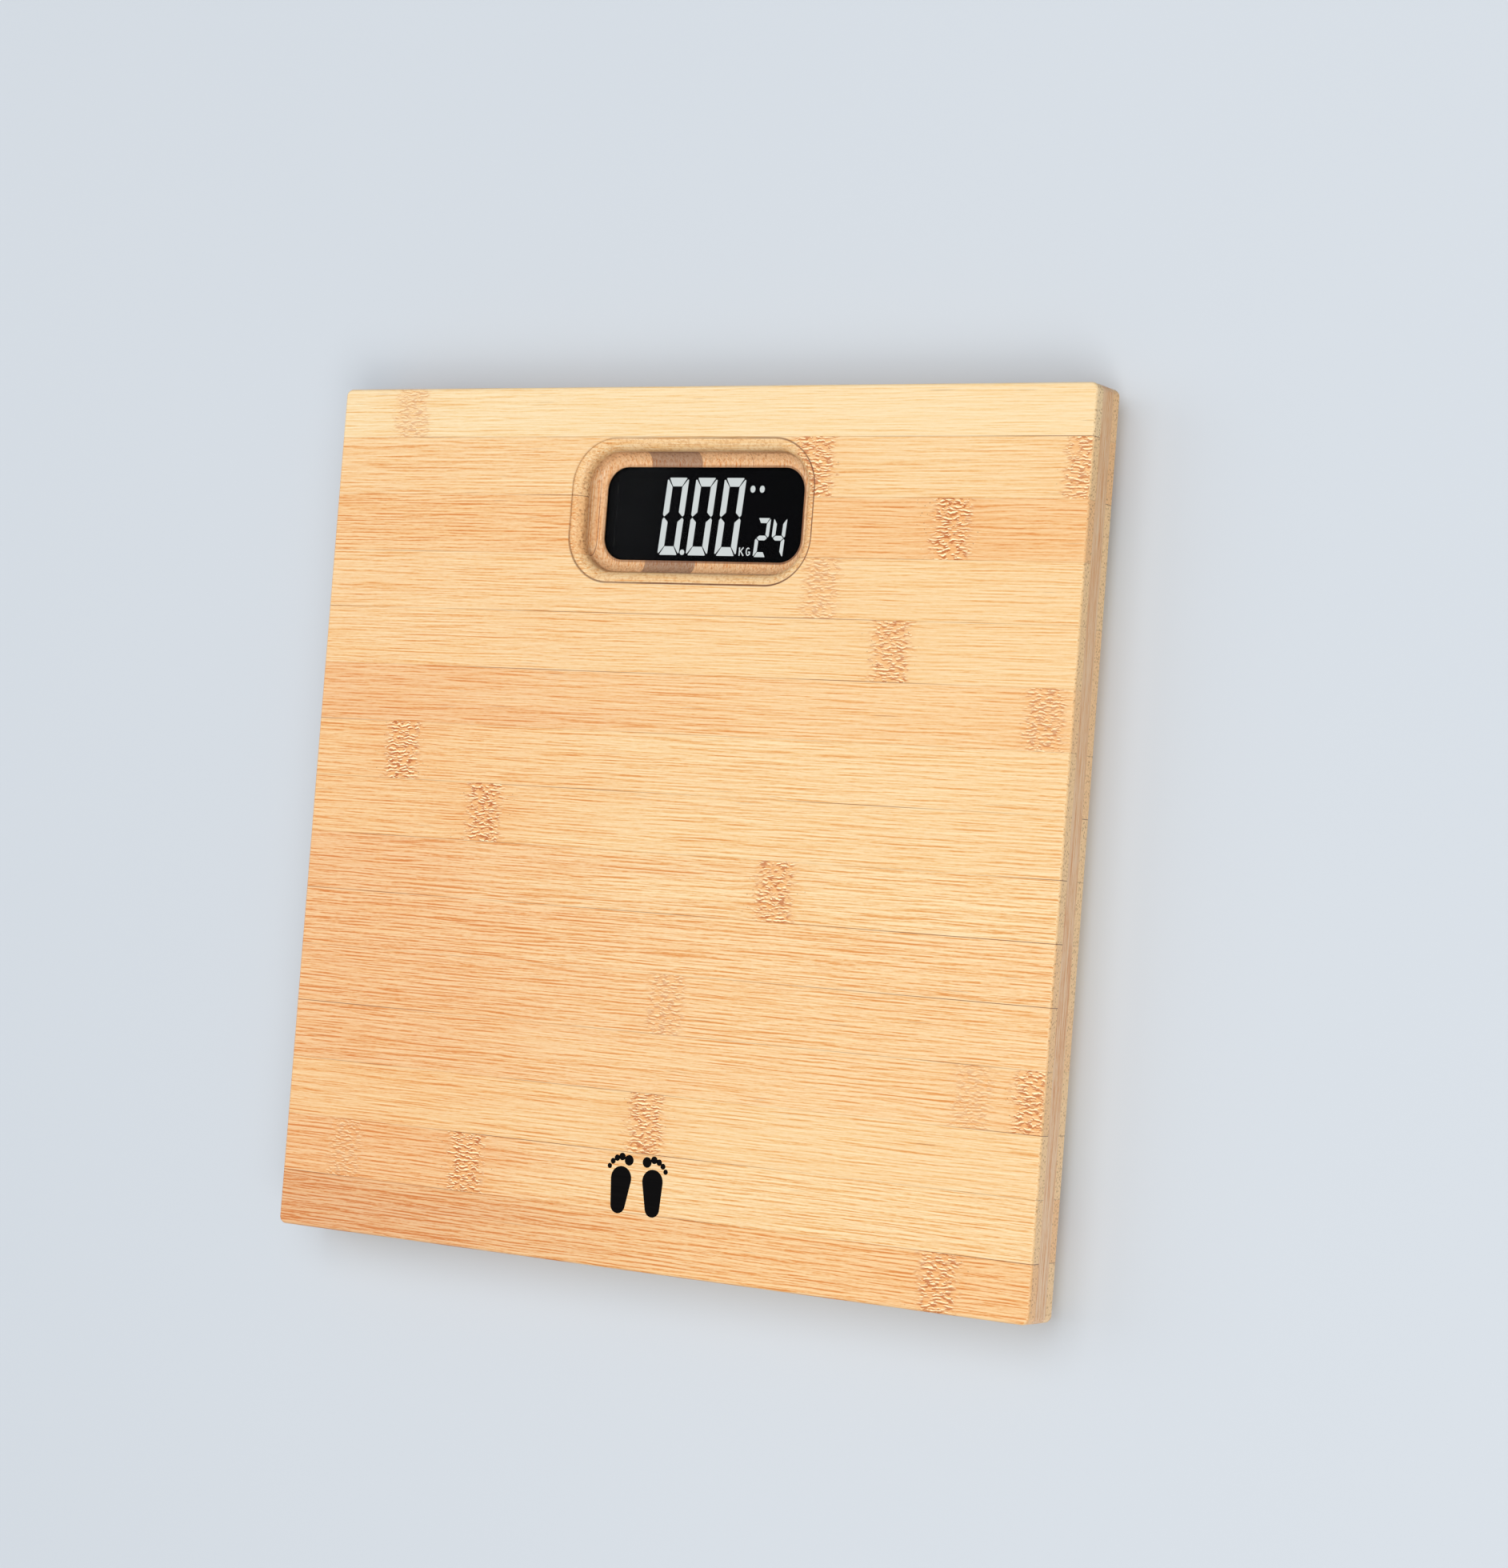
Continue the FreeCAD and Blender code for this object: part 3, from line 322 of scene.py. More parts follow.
def draw_checks(b, wood, near):
    """Hair-thin dark checks, and specks beside the knuckles."""
    check = b.step(b.fibres(26.0, 0.48, 83.0, detail=1.0), 0.245, 0.30)
    wood = b.mix(b.times(check, 0.60), wood, colour(*CHECK_BROWN))
    speck_at = b.vector(b.times(b.u, 0.8), b.bent, b.z)
    speck = b.times(b.step(b.cells(speck_at, 0.55), 0.13, 0.07), b.step(near, 0.5, 0.9))
    return b.mix(b.times(speck, 0.6), wood, colour(*SPECK_BROWN))


def seams(b):
    """The joints between strips, some crisp and some hardly to be seen."""
    share = b.math("FRACT", b.row)
    away = b.times(b.math("MINIMUM", share, b.math("SUBTRACT", 1.0, share)), STRIP)
    along = b.vector(b.times(b.u, 0.011), b.times(b.math("ROUND", b.row), 7.3), b.seed)
    crisp = b.step(b.noise(along, detail=2.0), 0.40, 0.66)
    return b.times(b.step(away, 0.20, 0.05), b.total(b.times(crisp, 0.76), 0.16))


def end_grain(b, tint, seam):
    """A face cut across the fibres has dark pores on a deeper ground. Returns its mask, its colour and its pores."""
    facing = b.split(b.node("TexCoord").outputs["Normal"])[1 if b.crosswise else 0]
    end = b.step(b.math("ABSOLUTE", facing), 0.30, 0.90)
    cut_place = b.vector(b.times(b.u, 0.12), b.v, b.z)
    pores = b.step(b.cells(cut_place, 0.90), 0.42, 0.16)
    grit = b.noise(cut_place, scale=1.6, detail=3.0, centred=True)
    ground = b.mix(b.total(b.times(grit, 2.2), 0.42), b.multiplied(tint, (0.80, 0.73, 0.64, 1)), tint)
    cut = b.mix(b.times(pores, 0.62), ground, b.multiplied(tint, (0.36, 0.26, 0.19, 1)))
    return end, b.mix(seam, cut, colour(*CUT_SEAM_BROWN)), pores


def outside_rim(b):
    """How far a point is outside the outline of the window's edge, in millimetres; negative inside."""
    half_width, half_height, radius, middle = WINDOW_RIM
    reach = []
    for value, half in ((b.x, half_width), (b.total(b.y, -middle), half_height)):
        over = b.math("MAXIMUM", b.total(b.math("ABSOLUTE", value), radius - half), 0.0)
        reach.append(b.times(over, over))
    return b.total(b.math("SQRT", b.total(*reach)), -radius)


def window_edge(b, wood):
    """The routed edge of the window: thin dark lines of painted shade along its steps, stronger towards +X and -Y, and
    the open grain between them.
    """
    away, place = outside_rim(b), b.vector(b.x, b.y, b.z)
    # Painted shade lines: the shadow under the rim's step, a line where the rounded edge meets the hollow, and the
    # darkest where the hollow meets the lens
    rim, step, lens = [b.times(b.step(b.math("ABSOLUTE", b.total(away, at)), width, width * 0.3), strength)
                       for at, width, strength in ((0.0, 0.50, 0.95), (BEAD, 0.50, 0.55), (SHADE_LINE_AT_LENS, 0.70, 0.85))]
    line = b.math("MAXIMUM", b.math("MAXIMUM", rim, step), lens)
    # The painted shade is strongest towards +X and -Y, the side where the steps' walls are in shadow, with some noise
    toward_corner = b.total(b.x, b.times(b.total(b.y, -WINDOW_RIM[3]), -1.6))
    painted_shade_strength = b.total(b.times(b.step(toward_corner, -70.0, 50.0), 0.72), b.times(b.noise(place, scale=0.12), 0.5))
    inside = b.step(away, 0.2, -0.6)
    mottle = b.step(b.noise(place, scale=0.85, detail=3.0, roughness=0.65), 0.47, 0.62)
    wood = b.mix(b.times(b.times(mottle, inside), 0.75), wood, b.multiplied(wood, (0.80, 0.66, 0.55, 1)))
    return b.mix(b.times(line, painted_shade_strength), wood, colour(*PAINTED_SHADE_LINE_BROWN))


def bamboo(name, tints, knuckles, first_seam=FACE_SEAM, crosswise=False, seed=0.0, window=True):
    """Strips of bamboo side by side, their fibres along X, or along Y in the crosswise ply."""
    b = Board(name, first_seam, crosswise, seed)
    knuckle, near = knuckle_masks(b, knuckles)
    bend_fibres(b, knuckle, near)

    broad = b.fibres(85.0, 7.0, 17.0, detail=2.0)
    side = b.step(b.total(b.u, b.times(broad, 160.0)), -140.0, 60.0)
    left = b.each_lane([(*colour(*tint)[:3], contrast) for tint, _, contrast in tints])
    right = b.each_lane([colour(*tint) for _, tint, _ in tints])
    contrast = b.times(left.outputs["Alpha"], b.total(b.times(side, -0.30), 1.0))
    tone = fibre_tone(b, broad, contrast)

    tint = b.mix(side, left.outputs[0], right.outputs[0])
    wood = b.multiplied(b.multiplied(tint, fibre_colours(b, tone)), (1.06, 1.045, 1.02, 1))
    wood = warm_patches(b, wood, side, near)
    wood, dashes = draw_knuckles(b, wood, knuckle)
    wood = draw_checks(b, wood, near)
    seam = seams(b)
    wood = b.mix(seam, wood, colour(*SEAM_BROWN))
    end, cut, pores = end_grain(b, tint, seam)
    wood = b.mix(end, wood, cut)
    if window:
        wood = window_edge(b, wood)

    relief = b.total(b.times(tone, 0.5), b.times(dashes, 0.2), b.times(seam, -0.8),
                     b.times(b.times(pores, end), -0.6))
    polish = b.total(b.times(tone, -0.10), b.times(end, 0.16), b.times(knuckle, 0.08), 0.50)
    return b.done(Base_Color=wood, Roughness=polish, Normal=b.bump(relief, 0.35, 0.05), Specular_IOR_Level=0.42,
                  Coat_Weight=0.10, Coat_Roughness=0.32)


# ---------------------------------------------------------------- plastics, rubber, metals and the rest
def moulded(name, base, rough=0.5, grit=0.35, texture=0.25, fleck=0.0):
    """Injection-moulded plastic: base is its colour, texture the depth of its sparked grain in hundredths."""
    s = Shader(name)
    place = s.place()
    cloud = s.noise(place, scale=0.035, detail=3.0, centred=True)
    fine = s.noise(place, scale=2.4, detail=3.0, roughness=0.6, centred=True)
    shade = s.total(s.times(cloud, 0.5), s.times(fine, grit), 0.5)
    deep = tuple(c * 0.72 for c in base[:3]) + (1.0,)
    pale = tuple(min(1.0, c * 1.35 + 0.004 + fleck) for c in base[:3]) + (1.0,)
    polish = s.total(s.times(fine, 0.18), s.times(cloud, 0.12), rough)
    return s.done(Base_Color=s.mix(shade, deep, pale), Roughness=polish, Normal=s.bump(fine, 0.4, texture))


def rubber(name, base):
    """Moulded rubber, dull, with a bloom of dust and scuffs on its sole."""
    s = Shader(name)
    place = s.place()
    dust = s.noise(place, scale=0.22, detail=5.0, roughness=0.65)
    scuff = s.noise(place, scale=1.7, detail=4.0, roughness=0.7, centred=True)
    pale = tuple(c * 1.9 + 0.02 for c in base[:3]) + (1.0,)
    body = s.mix(s.total(s.times(s.step(dust, 0.48, 0.72), 0.55), s.times(scuff, 0.4)), base, pale)
    return s.done(Base_Color=body, Roughness=s.total(s.times(dust, 0.12), 0.74), Specular_IOR_Level=0.3,
                  Normal=s.bump(scuff, 0.35, 0.12))


def metal(name, base, rough=0.3, drawn=(0.05, 3.0, 3.0), tarnish=0.25):
    """Rolled or drawn metal, with fine lines that run along the axis where drawn is small."""
    s = Shader(name)
    x, y, z = s.split(s.place())
    lines = s.noise(s.vector(*(s.times(axis, k) for axis, k in zip((x, y, z), drawn))), scale=2.0, detail=4.0,
                    centred=True)
    cloud = s.noise(s.place(), scale=0.12, detail=4.0)
    dull = tuple(c * 0.62 for c in base[:3]) + (1.0,)
    body = s.mix(s.times(s.step(cloud, 0.42, 0.72), tarnish), base, dull)
    return s.done(Base_Color=body, Metallic=1.0, Roughness=s.total(s.times(lines, 0.35), s.times(cloud, 0.12), rough),
                  Normal=s.bump(lines, 0.2, 0.02))


def circuit_laminate():
    """Green solder mask over faint copper runs, with pads."""
    s = Shader("board_laminate")
    x, y, z = s.split(s.place())
    cell = s.cells(s.vector(x, y, 0.0), 0.16, "Color")
    turn = s.step(s.split(cell)[0], 0.49, 0.51)
    lane = s.math("PINGPONG", s.mix(turn, x, y), 0.6)
    run = s.step(lane, 0.40, 0.46)
    pad = s.step(s.cells(s.vector(x, y, 0.0), 0.30), 0.20, 0.16)
    green = s.mix(run, colour(10, 74, 40), colour(22, 104, 56))
    return s.done(Base_Color=s.mix(pad, green, colour(196, 170, 96)), Roughness=s.total(s.times(pad, -0.1), 0.36),
                  Normal=s.bump(s.total(run, pad), 0.3, 0.04), Coat_Weight=0.3, Coat_Roughness=0.2)


def cell_sleeve(name, positive_x):
    """A battery's plain printed sleeve: bare steel at both ends, and a pale band at the positive one."""
    s = Shader(name)
    x, y, z = s.split(s.place())
    low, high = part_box(name)
    toward = 1 if positive_x > 0 else -1
    nub_end = (high.x if toward > 0 else low.x) / MM
    from_nub = s.times(s.math("SUBTRACT", nub_end, x), toward)
    steel = s.math("MAXIMUM", s.step(from_nub, 1.65, 1.45), s.step(from_nub, 43.4, 43.7))
    band = s.step(from_nub, 9.6, 9.4)
    grain = s.noise(s.vector(x, y, z), scale=1.4, detail=4.0, centred=True)
    print_colour = s.mix(band, colour(34, 52, 74), colour(206, 210, 206))
    body = s.mix(steel, s.mix(s.total(s.times(grain, 0.4), 0.3), print_colour, colour(60, 80, 104)),
                 (0.62, 0.60, 0.56, 1))
    return s.done(Base_Color=body, Metallic=steel, Roughness=s.total(s.times(grain, 0.15), 0.30))


def insulated_wire():
    """Red, black or white sleeving, one colour to each wire."""
    s = Shader("lead_insulation")
    each = s.node("NewGeometry").outputs["Random Per Island"]
    dye = s.ramp(each, [(0.0, colour(176, 24, 20)), (0.34, colour(20, 20, 22)), (0.67, colour(222, 220, 214))],
                 "CONSTANT").outputs[0]
    sheen = s.noise(s.place(), scale=0.5, detail=3.0, centred=True)
    return s.done(Base_Color=s.mix(s.total(s.times(sheen, 0.3), 0.1), dye, colour(120, 110, 104)),
                  Roughness=s.total(s.times(sheen, 0.2), 0.38))


def smoked_acrylic():
    """The lens: clear enough for the figures behind it, and dark to the eye."""
    s = Shader("lens_acrylic")
    smear = s.noise(s.place(), scale=0.06, detail=4.0, centred=True)
    return s.done(Base_Color=(0.002, 0.002, 0.0025, 1), Roughness=s.total(s.times(smear, 0.05), 0.07), Alpha=0.30,
                  Specular_IOR_Level=0.11)


def negative_panel():
    """The liquid crystal's dark ground, with a faint haze."""
    s = Shader("lcd_ground")
    x, y, z = s.split(s.place())
    haze = s.noise(s.vector(x, y, z), scale=0.09, detail=2.0)
    return s.done(Base_Color=s.mix(haze, (0.0012, 0.0012, 0.0016, 1), (0.003, 0.003, 0.0036, 1)),
                  Roughness=s.total(s.times(haze, 0.1), 0.35), Specular_IOR_Level=0.02)


def lit_figure():
    """A segment of the display, lit from behind a little unevenly."""
    s = Shader("lcd_figure")
    glow = s.noise(s.place(), scale=0.10, detail=2.0)
    shade = s.mix(glow, colour(206, 213, 213), colour(222, 227, 226))
    return s.done(Base_Color=(0.02, 0.02, 0.02, 1), Roughness=0.6, Emission_Color=shade, Emission_Strength=1.9,
                  Specular_IOR_Level=0.1)


def lens_print_black():
    """The black printed on the back of the lens."""
    s = Shader("lens_print")
    grain = s.noise(s.place(), scale=1.5, detail=2.0)
    return s.done(Base_Color=s.mix(grain, (0.001, 0.001, 0.001, 1), (0.003, 0.003, 0.003, 1)),
                  Roughness=s.total(s.times(grain, 0.1), 0.4), Specular_IOR_Level=0.02)


def printing_ink():
    """Black ink in the engraving, with the wood's fibres telegraphing through."""
    s = Shader("printing_ink")
    x, y, z = s.split(s.place())
    fibre = s.noise(s.vector(s.times(x, 0.05), s.times(y, 2.0), z), detail=3.0, centred=True)
    return s.done(Base_Color=s.mix(s.total(fibre, 0.4), (0.001, 0.001, 0.001, 1), (0.006, 0.005, 0.005, 1)),
                  Roughness=s.total(s.times(fibre, 0.2), 0.6), Normal=s.bump(fibre, 0.3, 0.03),
                  Specular_IOR_Level=0.04)


def paint(material, *nodes):
    """Gives CAD nodes their material."""
    for node in nodes:
        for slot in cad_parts[node].material_slots:
            slot.link = "OBJECT"
            slot.material = material


def each_foot(kind):
    return [f"{kind}_{name}" for name in FOOT_NAMES]


def paint_all():
    black = colour(30, 30, 32)
    paint(bamboo("bamboo_face", FACE_TINTS, FACE_KNUCKLES), "top_ply")
    paint(bamboo("bamboo_base", FACE_TINTS[::-1], BASE_KNUCKLES, seed=40.0, window=False), "base_ply")
    paint(bamboo("bamboo_core", CORE_TINTS, [], first_seam=CORE_SEAM, crosswise=True, seed=80.0), "core_ply")
    paint(moulded("housing_abs", black, rough=0.52, texture=0.12), "electronics_housing", "battery_door")
    paint(moulded("button_abs", colour(44, 44, 46), rough=0.42, texture=0.05), "unit_button")
    paint(moulded("foot_abs", colour(26, 26, 27), rough=0.46, texture=0.08), *each_foot("foot"),
          *each_foot("retainer_ring"), *each_foot("cell_cup"))
    paint(moulded("cover_abs", colour(34, 34, 35), rough=0.58, texture=0.10), *each_foot("wire_cover"))
    paint(rubber("pad_rubber", colour(58, 57, 56)), *each_foot("foot_pad"))
    paint(rubber("gasket_foam", colour(22, 22, 22)), "lens_gasket")
    paint(rubber("seal_silicone", colour(214, 214, 208)), *each_foot("gauge_seal"))
    paint(rubber("zebra_rubber", colour(206, 176, 184)), "zebra_connector")
    paint(metal("cell_steel", (0.60, 0.59, 0.57, 1), rough=0.34), *each_foot("load_cell"))
    paint(metal("screw_steel", (0.30, 0.30, 0.31, 1), rough=0.36, drawn=(1.0, 1.0, 1.0)), "foot_screws",
          "housing_screws", "board_screws")
    paint(metal("contact_nickel", (0.72, 0.70, 0.66, 1), rough=0.22, drawn=(3.0, 0.2, 3.0)), "positive_contact",
          "negative_contact", "bridge_contact")
    paint(circuit_laminate(), "main_board")
    paint(moulded("chip_epoxy", colour(18, 18, 19), rough=0.25, texture=0.02), "controller_chip",
          "temperature_sensor")
    paint(moulded("chip_body", colour(38, 38, 40), rough=0.55, texture=0.05), "board_components", "unit_switch",
          "unit_switch_plunger")
    paint(moulded("frame_abs", colour(24, 24, 25), rough=0.5, texture=0.05), "lcd_frame")
    paint(moulded("guide_acrylic", colour(222, 226, 226), rough=0.3, texture=0.02), "backlight_guide")
    paint(moulded("led_lamp", colour(240, 232, 190), rough=0.25, texture=0.02), "backlight_leds")
    paint(cell_sleeve("battery_1", -1), "battery_1")
    paint(cell_sleeve("battery_2", 1), "battery_2")
    paint(insulated_wire(), "battery_leads", *each_foot("cell_lead"))
    paint(smoked_acrylic(), "display_lens")
    paint(negative_panel(), "lcd_panel")


# ---------------------------------------------------------------- flat shapes, extruded
def rounded_outline(width, height, radius, steps=16):
    """The corners of a rounded rectangle about the origin, counter-clockwise."""
    points = []
    for k, (sx, sy) in enumerate(((1, 1), (-1, 1), (-1, -1), (1, -1))):
        for i in range(steps + 1):
            angle = math.radians(90 * (k + i / steps))
            points.append((sx * (width / 2 - radius) + radius * math.cos(angle),
                           sy * (height / 2 - radius) + radius * math.sin(angle)))
    return points


def ellipse_outline(x, y, rx, ry, steps=40):
    return [(x + rx * math.cos(2 * math.pi * i / steps), y + ry * math.sin(2 * math.pi * i / steps))
            for i in range(steps)]


def piece_of(name, mesh, bm, material):
    """Makes a finished mesh into a piece that rides on the platform."""
    bm.to_mesh(mesh)
    bm.free()
    mesh.materials.append(material)
    piece = bpy.data.objects.new(name, mesh)
    bpy.context.collection.objects.link(piece)
    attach(piece, "platform")


def extruded(name, outlines, low, high, material, ease=0.0):
    """A piece made of closed outlines in millimetres, between two heights in metres, with eased top edges."""
    mesh = bpy.data.meshes.new(name)
    bm = bmesh.new()
    for outline in outlines:
        bottom = bm.faces.new([bm.verts.new((x * MM, y * MM, low)) for x, y in outline])
        top = bmesh.ops.extrude_face_region(bm, geom=[bottom])["geom"]
        bmesh.ops.translate(bm, vec=(0, 0, high - low), verts=[g for g in top if isinstance(g, bmesh.types.BMVert)])
    bmesh.ops.recalc_face_normals(bm, faces=bm.faces)
    if ease:
        rims = [e for e in bm.edges if all(abs(v.co.z - high) < 1e-9 for v in e.verts)]
        bmesh.ops.bevel(bm, geom=rims, offset=ease * MM, segments=2, affect="EDGES")
    piece_of(name, mesh, bm, material)


# ---------------------------------------------------------------- the display's figures
SLANT = math.tan(math.radians(4.45))          # the figures lean to the right
SEGMENTS_OF = {"0": "abcdef", "2": "abdeg", "4": "bcfg"}
WEIGHT_TEXT, WEIGHT_AT, WEIGHT_PITCH = "000", (-18.6, -13.9), 11.5
WEIGHT_FIGURE = {"width": 8.6, "height": 26.7, "stroke": 2.3, "thick": 3.0, "gap": 0.17}
POINT_AT, POINT_R = (-8.6, -12.9), 0.92
WARMTH_TEXT, WARMTH_AT, WARMTH_PITCH = "24", (19.8, -14.1), 6.4
WARMTH_FIGURE = {"width": 5.2, "height": 13.3, "stroke": 1.35, "thick": 1.7, "gap": 0.24}
DOTS_X, DOTS_Y, DOT_RADII = (17.9, 21.6), 9.0, (0.98, 1.2)
UNIT_AT, UNIT_HEIGHT, UNIT_STROKE = (14.2, -13.75), 2.85, 0.42
LENS_PRINT_OUTER, LENS_PRINT_INNER = (86.8, 39.8, 11.6), (74.0, 29.8, 3.5)      # width, height, corner radius


def segment_outlines(figure, left, bottom, width, height, stroke, thick, gap):
    """The lit segments of one seven-segment figure, as outlines that lean to the right."""
    mid = height * 0.49
    point, shoulder, chin = stroke * 0.26, stroke * 0.30, stroke * 0.66
    lip, inset = stroke * 0.36, stroke * 1.08
    upper = [(0, mid + gap + shoulder), (point, mid + gap), (stroke, mid + gap + chin),
             (stroke, height - thick - gap), (lip * 0.45, height - lip * 0.75), (0, height - lip * 0.95)]
    lower = [(x, 2 * mid - y if y < height * 0.7 else height - y) for x, y in upper]
    cap = [(lip, height - lip * 0.25), (lip * 1.25, height), (width - lip * 1.25, height),
           (width - lip, height - lip * 0.25), (width - inset, height - thick), (inset, height - thick)]
    bar = [(lip * 1.2, mid), (inset, mid + thick * 0.48), (width - inset, mid + thick * 0.48),
           (width - lip * 1.2, mid), (width - inset, mid - thick * 0.48), (inset, mid - thick * 0.48)]

    def mirrored(outline):
        return [(width - x, y) for x, y in outline]

    shapes = {"f": upper, "b": mirrored(upper), "e": lower, "c": mirrored(lower), "a": cap,
              "d": [(x, height - y) for x, y in cap], "g": bar}
    return [[(left + x + y * SLANT, bottom + y) for x, y in shapes[k]] for k in SEGMENTS_OF[figure]]


def ribbon(points, width):
    """A stroke of even width along points, its ends cut square."""
    left, right = [], []
    for i, (x, y) in enumerate(points):
        (ax, ay), (bx, by) = points[max(i - 1, 0)], points[min(i + 1, len(points) - 1)]
        length = math.hypot(bx - ax, by - ay)
        nx, ny = -(by - ay) / length * width / 2, (bx - ax) / length * width / 2
        left.append((x + nx, y + ny))
        right.append((x - nx, y - ny))
    return left + right[::-1]


def unit_letters(left, bottom, height, stroke):
    """The unit, K and G, in plain strokes."""
    wide = height * 0.62
    joint = bottom + height * 0.46
    letter_k = [ribbon([(left + stroke / 2, bottom), (left + stroke / 2, bottom + height)], stroke),
                ribbon([(left + stroke, joint), (left + wide, bottom + height)], stroke),
                ribbon([(left + stroke * 1.6, joint + stroke * 0.7), (left + wide + stroke * 0.2, bottom)], stroke)]
    cx, cy = left + wide * 2.05, bottom + height / 2
    rx, ry = wide / 2 - stroke / 2, height / 2 - stroke / 2
    arc = [(cx + rx * math.cos(math.radians(a)), cy + ry * math.sin(math.radians(a))) for a in range(48, 331, 12)]
    tail = (cx + rx, cy - stroke * 0.35)
    letter_g = [ribbon(arc, stroke), ribbon([(cx + rx, bottom + height * 0.14), tail], stroke),
                ribbon([(cx + stroke * 0.1, tail[1]), (cx + rx + stroke / 2, tail[1])], stroke)]
    return letter_k + letter_g


def display_figures():
    """Everything the display shows, on the liquid crystal just under the lens."""
    low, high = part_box("display_lens")
    middle_y = (low.y + high.y) / 2 / MM
    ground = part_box("lcd_panel")[1].z
    z0, z1 = ground + 0.01 * MM, ground + 0.04 * MM
    lit = lit_figure()

    def put(name, outlines):
        moved = [[(x, y + middle_y) for x, y in outline] for outline in outlines]
        extruded(name, moved, z0, z1, lit)

    def number(name, text, at, pitch, figure):
        for i, digit in enumerate(text):
            put(f"{name}_{i + 1}", segment_outlines(digit, at[0] + pitch * i, at[1], **figure))

    number("weight_figure", WEIGHT_TEXT, WEIGHT_AT, WEIGHT_PITCH, WEIGHT_FIGURE)
    put("decimal_point", [ellipse_outline(*POINT_AT, POINT_R, POINT_R)])
    number("temperature_figure", WARMTH_TEXT, WARMTH_AT, WARMTH_PITCH, WARMTH_FIGURE)
    put("degree_dots", [ellipse_outline(x, DOTS_Y, *DOT_RADII) for x in DOTS_X])
    put("unit_letters", unit_letters(*UNIT_AT, UNIT_HEIGHT, UNIT_STROKE))


def lens_print():
    """The black border printed on the lens's back."""
    low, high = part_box("display_lens")
    middle_y = (low.y + high.y) / 2 / MM
    outer, inner = rounded_outline(*LENS_PRINT_OUTER), rounded_outline(*LENS_PRINT_INNER)
    mesh = bpy.data.meshes.new("lens_print")
    bm = bmesh.new()
    rings = []
    for z in (low.z - 0.05 * MM, low.z - 0.01 * MM):
        rings.append([[bm.verts.new((x * MM, (y + middle_y) * MM, z)) for x, y in line] for line in (outer, inner)])
    (outer_low, inner_low), (outer_high, inner_high) = rings
    count = len(outer)
    for i in range(count):
        j = (i + 1) % count
        for a, b in zip((outer_low, outer_high, inner_high, inner_low), (outer_high, inner_high, inner_low, outer_low)):
            bm.faces.new((a[i], a[j], b[j], b[i]))
    bmesh.ops.recalc_face_normals(bm, faces=bm.faces)
    piece_of("lens_print", mesh, bm, lens_print_black())


# ---------------------------------------------------------------- the printed footprints
PRINT_Y, PRINT_X, PRINT_DEPTH = -121.0, 6.3, 0.15       # the engraving in the top ply
SOLE_HEEL, SOLE_BALL = (0.6, -7.4, 2.9), (0.0, 1.6, 4.1)      # x, y and radius, for a right foot
TOES = [(-2.7, 7.9, 1.8), (0.1, 8.9, 1.3), (2.1, 8.3, 1.1), (3.7, 7.1, 1.0), (4.9, 5.4, 0.9)]
INK_EASE = 0.03                   # the ink's clearance from the engraving's walls, and its eased edge
INK_FLOOR, INK_TOP = 0.01, 0.02   # its clearance from the engraving's floor, and how far it lies below the face


def sole_outline(steps=28):
    """The heel's and the ball's arcs, joined by their outer tangents."""
    (hx, hy, hr), (bx, by, br) = SOLE_HEEL, SOLE_BALL
    heading = math.atan2(by - hy, bx - hx)
    lean = math.acos((hr - br) / math.hypot(bx - hx, by - hy))
    points = []
    for x, y, r, start, end in ((bx, by, br, -lean, lean), (hx, hy, hr, lean, 2 * math.pi - lean)):
        for i in range(steps + 1):
            angle = heading + start + (end - start) * i / steps
            points.append((x + (r - INK_EASE) * math.cos(angle), y + (r - INK_EASE) * math.sin(angle)))
    return points


def footprints():
    """Two small footprints, the generic mark that tells where to stand."""
    outlines = [sole_outline()] + [ellipse_outline(x, y, r - INK_EASE, r - INK_EASE) for x, y, r in TOES]
    ink = printing_ink()
    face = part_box("top_ply")[1].z
    for name, side in (("right", 1), ("left", -1)):
        moved = [[(side * (x + PRINT_X), y + PRINT_Y) for x, y in outline] for outline in outlines]
        low, high = face - (PRINT_DEPTH - INK_FLOOR) * MM, face - INK_TOP * MM
        extruded(f"footprint_{name}", moved, low, high, ink, ease=INK_EASE)


# ---------------------------------------------------------------- the stage
def floor():
    """A plain pale floor, solid from above and clear from below, so that the underside can be looked at."""
    mesh = bpy.data.meshes.new("floor")
    bm = bmesh.new()
    bmesh.ops.create_grid(bm, x_segments=1, y_segments=1, size=6.0)
    bm.to_mesh(mesh)
    bm.free()
    s = Shader("floor_paint")
    cloud = s.noise(s.place(), scale=0.002, detail=3.0)
    s.done(Base_Color=s.mix(cloud, colour(197, 203, 209), colour(202, 207, 212)), Roughness=0.9,
           Specular_IOR_Level=0.1)
    behind = s.node("NewGeometry").outputs["Backfacing"]
    clear = s.node("BsdfTransparent").outputs[0]
    one_sided = s.node("MixShader")
    s.put(one_sided.inputs[0], behind)
    s.put(one_sided.inputs[1], s.surface.outputs[0])
    s.put(one_sided.inputs[2], clear)
    s.put(s.tree.nodes["Material Output"].inputs["Surface"], one_sided.outputs[0])
    mesh.materials.append(s.material)
    plane = bpy.data.objects.new("floor", mesh)
    plane.visible_shadow = False
    plane.visible_diffuse = False
    bpy.context.collection.objects.link(plane)


def aim(obj, target):
    obj.rotation_euler = (Vector(target) - obj.location).to_track_quat("-Z", "Y").to_euler()


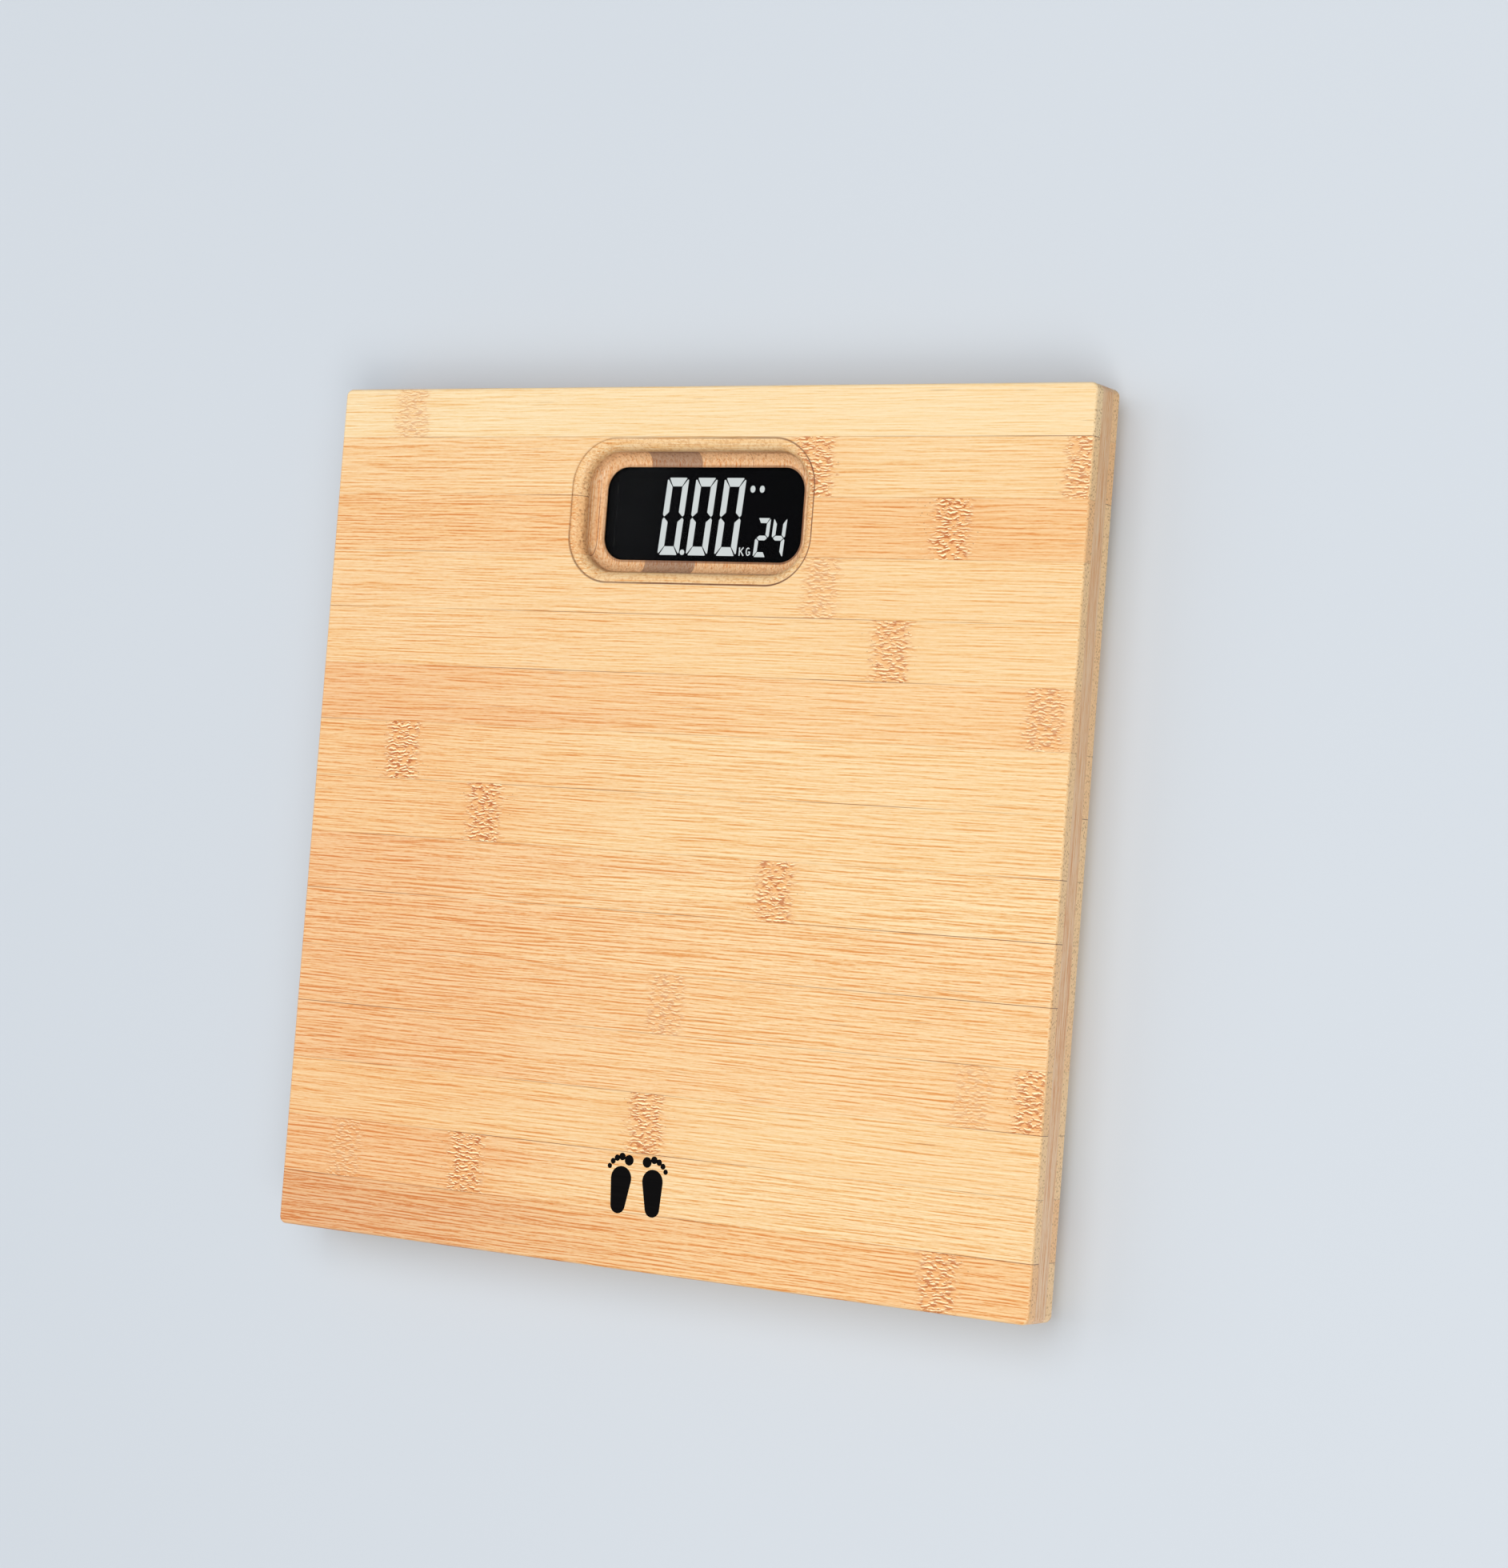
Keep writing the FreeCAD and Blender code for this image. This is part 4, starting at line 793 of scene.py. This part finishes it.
def lamp(name, place, target, size, power, shade=(1, 1, 1)):
    light = bpy.data.lights.new(name, "AREA")
    light.shape = "RECTANGLE"
    light.size, light.size_y = size
    light.energy = power
    light.color = shade
    obj = bpy.data.objects.new(name, light)
    obj.location = place
    bpy.context.collection.objects.link(obj)
    aim(obj, target)
    obj.visible_camera = False
    obj.visible_glossy = name != "overhead"


def lights():
    lamp("key", (1.5, -1.1, 2.2), (0, 0, 0), (1.6, 1.6), 36, (1.0, 0.985, 0.96))
    lamp("overhead", (0.2, 0.6, 2.6), (0, 0, 0), (2.4, 2.4), 40)
    lamp("fill", (-1.9, 0.3, 1.5), (0, 0, 0), (1.6, 1.6), 9, (0.95, 0.975, 1.0))
    lamp("below", (0.5, -0.7, -1.6), (0, 0, 0), (1.6, 1.6), 16)
    world = bpy.data.worlds.new("studio")
    world.use_nodes = True
    world.node_tree.nodes["Background"].inputs["Color"].default_value = (0.90, 0.94, 1.0, 1)
    world.node_tree.nodes["Background"].inputs["Strength"].default_value = 0.42
    bpy.context.scene.world = world
    bpy.context.scene.view_settings.view_transform = "Standard"


# The camera: its direction in degrees and its distance in metres from the middle of the face, the point of the face
# that it looks at, the way that is up in the picture, and its lens in millimetres
VIEW_AZIMUTH, VIEW_ELEVATION, VIEW_DISTANCE = 87.57, 57.39, 1.239
VIEW_AIM = (0.034, 0.016)
VIEW_UP = (-0.0474, 0.9964, 0.0708)
LENS = 84.2


def camera():
    data = bpy.data.cameras.new("camera")
    data.lens = LENS
    data.sensor_width = 36.0
    data.clip_start = 0.05
    cam = bpy.data.objects.new("camera", data)
    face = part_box("top_ply")[1].z
    a, e = math.radians(VIEW_AZIMUTH), math.radians(VIEW_ELEVATION)
    stand = Vector((math.sin(a) * math.cos(e), -math.cos(a) * math.cos(e), math.sin(e))) * VIEW_DISTANCE
    cam.location = stand + Vector((0, 0, face))
    back = (cam.location - Vector((*VIEW_AIM, face))).normalized()
    right = Vector(VIEW_UP).cross(back).normalized()
    up = back.cross(right)
    cam.rotation_mode = "QUATERNION"
    cam.rotation_quaternion = Matrix((right, up, back)).transposed().to_quaternion()
    bpy.context.collection.objects.link(cam)
    bpy.context.scene.camera = cam


def main():
    camera()
    paint_all()
    display_figures()
    lens_print()
    footprints()
    floor()
    lights()


main()
